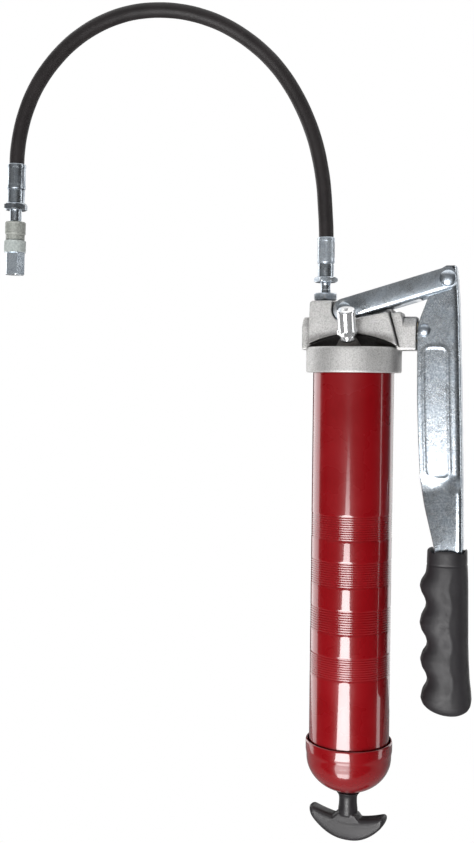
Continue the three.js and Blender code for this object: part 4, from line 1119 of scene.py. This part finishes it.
def hose_curve():
    """Centripetal Catmull-Rom through the hose points."""
    points = np.array(HOSE_POINTS, float)
    points = np.vstack([2 * points[0] - points[1], points, 2 * points[-1] - points[-2]])
    out = []
    for i in range(1, len(points) - 2):
        p0, p1, p2, p3 = points[i - 1:i + 3]
        t = [0.0]
        for a, b in ((p0, p1), (p1, p2), (p2, p3)):
            t.append(t[-1] + max(np.linalg.norm(b - a), 1e-6) ** 0.5)
        for u in np.linspace(t[1], t[2], 40, endpoint=False):
            def between(a, b, i, j):
                return (t[j] - u) / (t[j] - t[i]) * a + (u - t[i]) / (t[j] - t[i]) * b
            a1, a2, a3 = between(p0, p1, 0, 1), between(p1, p2, 1, 2), between(p2, p3, 2, 3)
            out.append(between(between(a1, a2, 0, 2), between(a2, a3, 1, 3), 1, 2))
    out.append(points[-2])
    return np.array(out)


def hose_path():
    """Even distances along the hose and the x, z there, lightly smoothed, ends held."""
    curve = hose_curve()
    s = run_length(curve)
    dist = np.linspace(0, s[-1], int(s[-1] / (0.8)) + 1)
    path = np.stack([np.interp(dist, s, curve[:, i]) for i in (0, 1)], 1)
    k = max(3, int(9 / (dist[1] - dist[0])) | 1)
    padded = np.pad(path, ((k // 2, k // 2), (0, 0)), mode="reflect", reflect_type="odd")
    path = np.stack([np.convolve(padded[:, i], np.ones(k) / k, "valid") for i in (0, 1)], 1)
    return dist, path


def hose_tube(points, gripped, at_end, n=40):
    """Hose along x, z points, narrower over its gripped length inside a ferrule."""
    centre = np.asarray([swung(x, z) for x, z in points], float)
    along = np.gradient(centre, axis=0)
    along /= np.linalg.norm(along, axis=1)[:, None]
    across = np.array([-math.sin(HOSE_SWING), math.cos(HOSE_SWING), 0])
    normal = np.cross(along, across)
    normal /= np.linalg.norm(normal, axis=1)[:, None]
    s = run_length(centre)[:, None]
    theta = (np.arange(n) * 2 * PI / n)[None, :]
    r = HOSE_R + 0.035 * np.cos(5 * theta + s * 0.05) + 0.02 * np.sin(s * 0.35)
    from_end = s[-1] - s if at_end else s
    r = r - 0.47 * (1 - np.clip((from_end - gripped + 0.6) / 0.6, 0, 1))
    out = (np.cos(theta)[..., None] * normal[:, None] + np.sin(theta)[..., None] * across)
    outer = centre[:, None] + r[..., None] * out
    inner = centre[:, None] + HOSE_BORE_R * out
    return loft(np.concatenate([outer, inner[::-1]]), loop=True)


def build_hose():
    dist, path = hose_path()
    length = dist[-1]
    head_tail = [(OUTLET_X, z) for z in np.arange(78.9, 95.9, 1.0)]
    coupler_tail = [(HOSE_END[0] - math.sin(COUPLER_LEAN) * t,
                     HOSE_END[1] - math.cos(COUPLER_LEAN) * t) for t in np.arange(1.0, 17.2, 1.0)]
    mid = np.searchsorted(dist, 0.5 * length)
    head_half = hose_tube([*head_tail, *path[:mid + 1]], gripped=17.3, at_end=False)
    end_half = hose_tube([*path[mid:], *coupler_tail], gripped=16.8, at_end=True)
    dress(head_half, "hose_head_half", HOSE, ["hose_head_end", "hose_middle"], 50)
    dress(end_half, "hose_coupler_half", HOSE, ["hose_coupler_end"], 50)

    def at(d):
        return swung(np.interp(d, dist, path[:, 0]), np.interp(d, dist, path[:, 1]))

    # each half's transform is baked into its mesh
    for o, first, second, joint in ((head_half, "head", "hose_mid", 0.335 * length),
                                    (end_half, "hose_mid", "hose_end", 0.665 * length)):
        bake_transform(o)


# ------------------------------------------------------------------ coupler
def build_coupler_stem(where):
    o = lathe(fillet([(0, 18.3), (5.85, 18.3), (6.0, 19), (6.0, 28.4), (0, 28.4)],
                     [0, 0.3, 0.3, 0, 0], 3), 72, *where)
    fuse(o, hexbar(17, 28, 32.7, 0.9, 0.274, *where),
         lathe(fillet([(0, 32.4), (4.3, 32.4), (4.1, 33.6), (4.1, 40.6), (3.3, 40.6),
                       (3.3, 50.5), (0, 50.5)], [0, 0, 0.4, 0.3, 0, 0.3, 0], 3), 64, *where),
         lathe([(0, 3), (1.9, 3), (1.9, 19), (0, 19)], 40, *where))
    cut(o, rod(1.2, 2, 52, 24, *where))
    finish(o, "hose_stem_coupler", ZINC, "hose_end", 30)


def build_coupler_body(where):
    """Diamond-knurled rear of the coupler."""
    def knurl(r, t, h):
        w = np.clip((h - 41.9) / 0.5, 0, 1) * np.clip((49.1 - h) / 0.5, 0, 1)
        ridges = sum(np.abs(np.sin(14 * t + lead * h)) * 0.5 for lead in (2.6, -2.6))
        return np.where(r > 6.9, r - 0.22 * w * (1 - ridges), r)
    profile = fillet([(3.6, 40.9), (6.7, 40.9), (7.2, 41.5), (7.2, 49.4), (6.6, 49.9),
                      (6.6, 53.6), (5.3, 53.7), (5.3, 60.2), (2.4, 60.2), (2.4, 50.9),
                      (3.6, 50.9)], [0.1, 0.3, 0.3, 0.3, 0.1, 0.2, 0, 0.3, 0.1, 0, 0], 3, True)
    o = lathe(dense_loop(profile, 0.3), 168, *where, knurl, closed=True)
    finish(o, "coupler_body", ZINC_REAR, "hose_end", 40)


def build_coupler_nose(where):
    """Straight-knurled ring over a hexagonal barrel with an open mouth."""
    def shape(r, t, h):
        hexagon = np.minimum(hex_radius(14.6, t + 0.145), 7.3 - np.clip(h - 77.6, 0, 1) * 0.9)
        ends = np.clip((h - 54.7) / 0.4, 0, 1) * np.clip((62.0 - h) / 0.4, 0, 1)
        knurled = r - 0.16 * (0.5 - 0.5 * np.cos(48 * t)) * ends
        k = np.clip((h - 62.5) / 0.45, 0, 1)
        ring = np.where(r > 7.0, knurled, r)
        return np.where(r > 6.4, ring * (1 - k) + np.minimum(hexagon, 7.35) * k, r)
    outer = dense([(6.9, 53.9), (7.4, 54.1), (7.6, 54.6), (7.6, 62.3), (7.5, 62.6),
                   (7.35, 63.0), (7.35, 77.6), (7.3, 78.2)], 0.4)
    inner = [(4.75, 78.2), (4.45, 77.9), (4.5, 77.2), (5.0, 74.4), (5.6, 69.4), (5.6, 53.9)]
    o = lathe(outer + inner, 192, *where, shape, closed=True)
    finish(o, "coupler_nose", ZINC_NOSE, "coupler_nose", 30)


def build_coupler_jaws():
    """Three sector jaws, each centred on its node's bearing."""
    profile = fillet([(2.6, 66.0), (5.1, 66.0), (5.1, 69.2), (4.15, 77.2), (3.9, 77.8),
                      (3.1, 77.8), (2.6, 76.6)], 0.15, 2, True)
    half = math.radians(54.5)
    u, v, _ = basis(COUPLER_AXIS)
    for i in range(3):
        node = f"coupler_jaw_{i + 1}"
        points = [w.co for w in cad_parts[node].data.vertices]
        centre = (np.array(points, float) * 1000 - SHIFT).mean(0) - COUPLER_AT
        mid = math.atan2(centre @ v, centre @ u)
        o = loft([[COUPLER_AT + COUPLER_AXIS * h + r * (math.cos(t) * u + math.sin(t) * v)
                   for r, h in profile] for t in np.linspace(mid - half, mid + half, 22)])
        finish(o, node, STEEL, "coupler_jaws", 30)


def build_coupler():
    where = COUPLER_AT, COUPLER_AXIS
    build_coupler_stem(where)
    build_coupler_body(where)
    build_coupler_nose(where)
    seal = lathe(fillet(ring_profile(1.4, 4.9, 63.4, 65.7), 0.3, 3, True), 72, *where, closed=True)
    finish(seal, "coupler_seal", RUBBER, "coupler_jaws")
    build_coupler_jaws()


for build in (build_head, build_barrel, build_cap, build_handle, build_lever, build_grip,
              build_link, build_rivets, build_follower, build_springs, build_balls,
              build_plunger, build_outlet, build_ferrules, build_filler, build_hose,
              build_coupler):
    build()


# ------------------------------------------------------------------ stage, in metres
TO_CAMERA = unit((122.43, -774.92))             # x, y from the barrel
TO_LEFT = np.array([TO_CAMERA[1], -TO_CAMERA[0]])   # image left


def stage_sheet(name, corners):
    """Four-cornered sheet."""
    mesh = bpy.data.meshes.new(name)
    mesh.from_pydata(corners, [], [(0, 1, 2, 3)])
    return scene_object(name, mesh)


def stage_graph(o, name):
    material = bpy.data.materials.new(name)
    material.use_nodes = True
    material.node_tree.nodes.clear()
    o.data.materials.append(material)
    g = Graph(material.node_tree)
    return g, g.new("OutputMaterial").inputs[0]


def build_floor():
    """White to the camera, mid grey to the light, clear from below."""
    floor = stage_sheet("floor", [(-1.1, -0.30, -0.70), (1.1, -0.30, -0.70), (1.1, 1.4, -0.70),
                                  (-1.1, 1.4, -0.70)])
    g, out = stage_graph(floor, "pale_floor")
    grey = g.new("BsdfDiffuse")
    grey.inputs["Color"].default_value = (0.22, 0.22, 0.22, 1)
    white = g.new("Emission")
    white.inputs["Color"].default_value = (1, 1, 1, 1)
    white.inputs["Strength"].default_value = 1.0

    def switch(amount, first, second):
        node = g.new("MixShader")
        for value, socket in zip((amount, first, second), node.inputs):
            g.feed(value, socket)
        return node.outputs[0]

    seen = switch(g.new("LightPath").outputs["Is Camera Ray"], grey.outputs[0], white.outputs[0])
    below = g.new("NewGeometry").outputs["Backfacing"]
    g.feed(switch(below, seen, g.new("BsdfTransparent").outputs[0]), out)


def build_front_light():
    """Upright soft panel before the barrel, narrowing and fading towards its top."""
    distance, foot, top, strength = 0.95, -0.69, -0.10, 15.5

    def corner(bearing, z):
        """Bearing in degrees: 0 towards the camera, positive to image left."""
        a = math.radians(bearing)
        x, y = distance * (TO_CAMERA * math.cos(a) + TO_LEFT * math.sin(a))
        return (x, -0.016 + y, z)

    panel = stage_sheet("low_front_light", [corner(-4, foot), corner(38, foot), corner(12, top),
                                            corner(9, top)])
    g, out = stage_graph(panel, "low_front_light")
    light = g.new("Emission")
    light.inputs["Strength"].default_value = strength
    z = g.split(g.new("TexCoord").outputs["Object"])["Z"]
    g.feed(g.ramp(z, (-0.40, top), (strength, 0.0), smooth=True), light.inputs["Strength"])
    g.feed(light.outputs[0], out)
    panel.visible_camera = False
    panel.visible_shadow = False


def build_world():
    """Studio of soft upright strips, white to the camera."""
    world = bpy.data.worlds.new("studio")
    bpy.context.scene.world = world
    world.use_nodes = True
    world.node_tree.nodes.clear()
    g = Graph(world.node_tree)
    out = g.new("OutputWorld")
    background = g.new("Background")
    at = g.split(g.new("TexCoord").outputs["Generated"])

    def component(direction):
        return g.math("ADD", g.times(at["X"], float(direction[0])),
                      g.times(at["Y"], float(direction[1])))

    # degrees: bearing is 0 towards the camera and positive to image left
    bearing = g.times(g.math("ARCTAN2", component(TO_LEFT), component(TO_CAMERA)), 180 / PI)
    # the arcsine's second input has no effect
    height = g.times(g.math("ARCSINE", at["Z"], 0.5), 180 / PI)

    def rise(value, start, end):
        return g.ramp(value, (start, end), smooth=True)

    def band(value, start, end, soft):
        fall = g.math("SUBTRACT", 1.0, rise(value, end - soft / 2, end + soft / 2))
        return g.times(rise(value, start - soft / 2, start + soft / 2), fall)

    def strip(start, end, soft, heights):
        return g.times(band(bearing, start, end, soft), heights)

    tall = band(height, -60, 50, 10)
    # mask, strength
    lights = [
        (strip(107, 151, 4, tall), 2.0),
        (strip(-155, -131, 3, tall), 1.5),
        (strip(-98, -85, 2, tall), 2.8),
        (rise(height, 28, 60), 1.35),
        (strip(-28, 75, 34, rise(height, -18, 2)), 0.13),
        (strip(-3, 38, 5, band(height, -60, -22, 6)), 5.0),
        (strip(-2, 36, 6, band(height, -60, -39, 5)), 5.0),
        (strip(-174, -160, 3, tall), 1.25)]
    terms = [g.times(mask, strength) for mask, strength in lights]
    total = terms[0]
    for term in terms[1:] + [0.025]:            # the last is an even fill
        total = g.math("ADD", total, term)
    mix = g.new("Mix", data_type="FLOAT")
    g.feed(g.new("LightPath").outputs["Is Camera Ray"], mix.inputs[0])
    g.feed(total, mix.inputs[2])
    mix.inputs[3].default_value = 1.0
    g.feed(mix.outputs[0], background.inputs["Strength"])
    background.inputs["Color"].default_value = (1, 1, 1, 1)
    g.feed(background.outputs[0], out.inputs[0])


def build_camera():
    data = bpy.data.cameras.new("camera")
    data.lens = 47.017794
    data.sensor_width = 36
    data.sensor_fit = "AUTO"
    data.clip_start, data.clip_end = 0.05, 50
    camera = scene_object("camera", data)
    pitch, roll, yaw = math.radians(2.32), math.radians(0.52), math.radians(15)
    forward = np.array([-math.sin(yaw) * math.cos(pitch), math.cos(yaw) * math.cos(pitch),
                        -math.sin(pitch)])
    level = np.array([math.cos(yaw), math.sin(yaw), 0])
    upright = np.cross(level, forward)
    right = level * math.cos(roll) + upright * math.sin(roll)
    up = upright * math.cos(roll) - level * math.sin(roll)
    eye = place(122.435, -774.916, -3.7)
    rows = [(right[i], up[i], -forward[i], eye[i]) for i in range(3)]
    camera.matrix_world = Matrix((*rows, (0, 0, 0, 1)))
    bpy.context.scene.camera = camera


build_floor()
build_front_light()
build_world()
build_camera()
bpy.context.scene.view_settings.view_transform = "Standard"
bpy.context.scene.view_settings.look = "None"
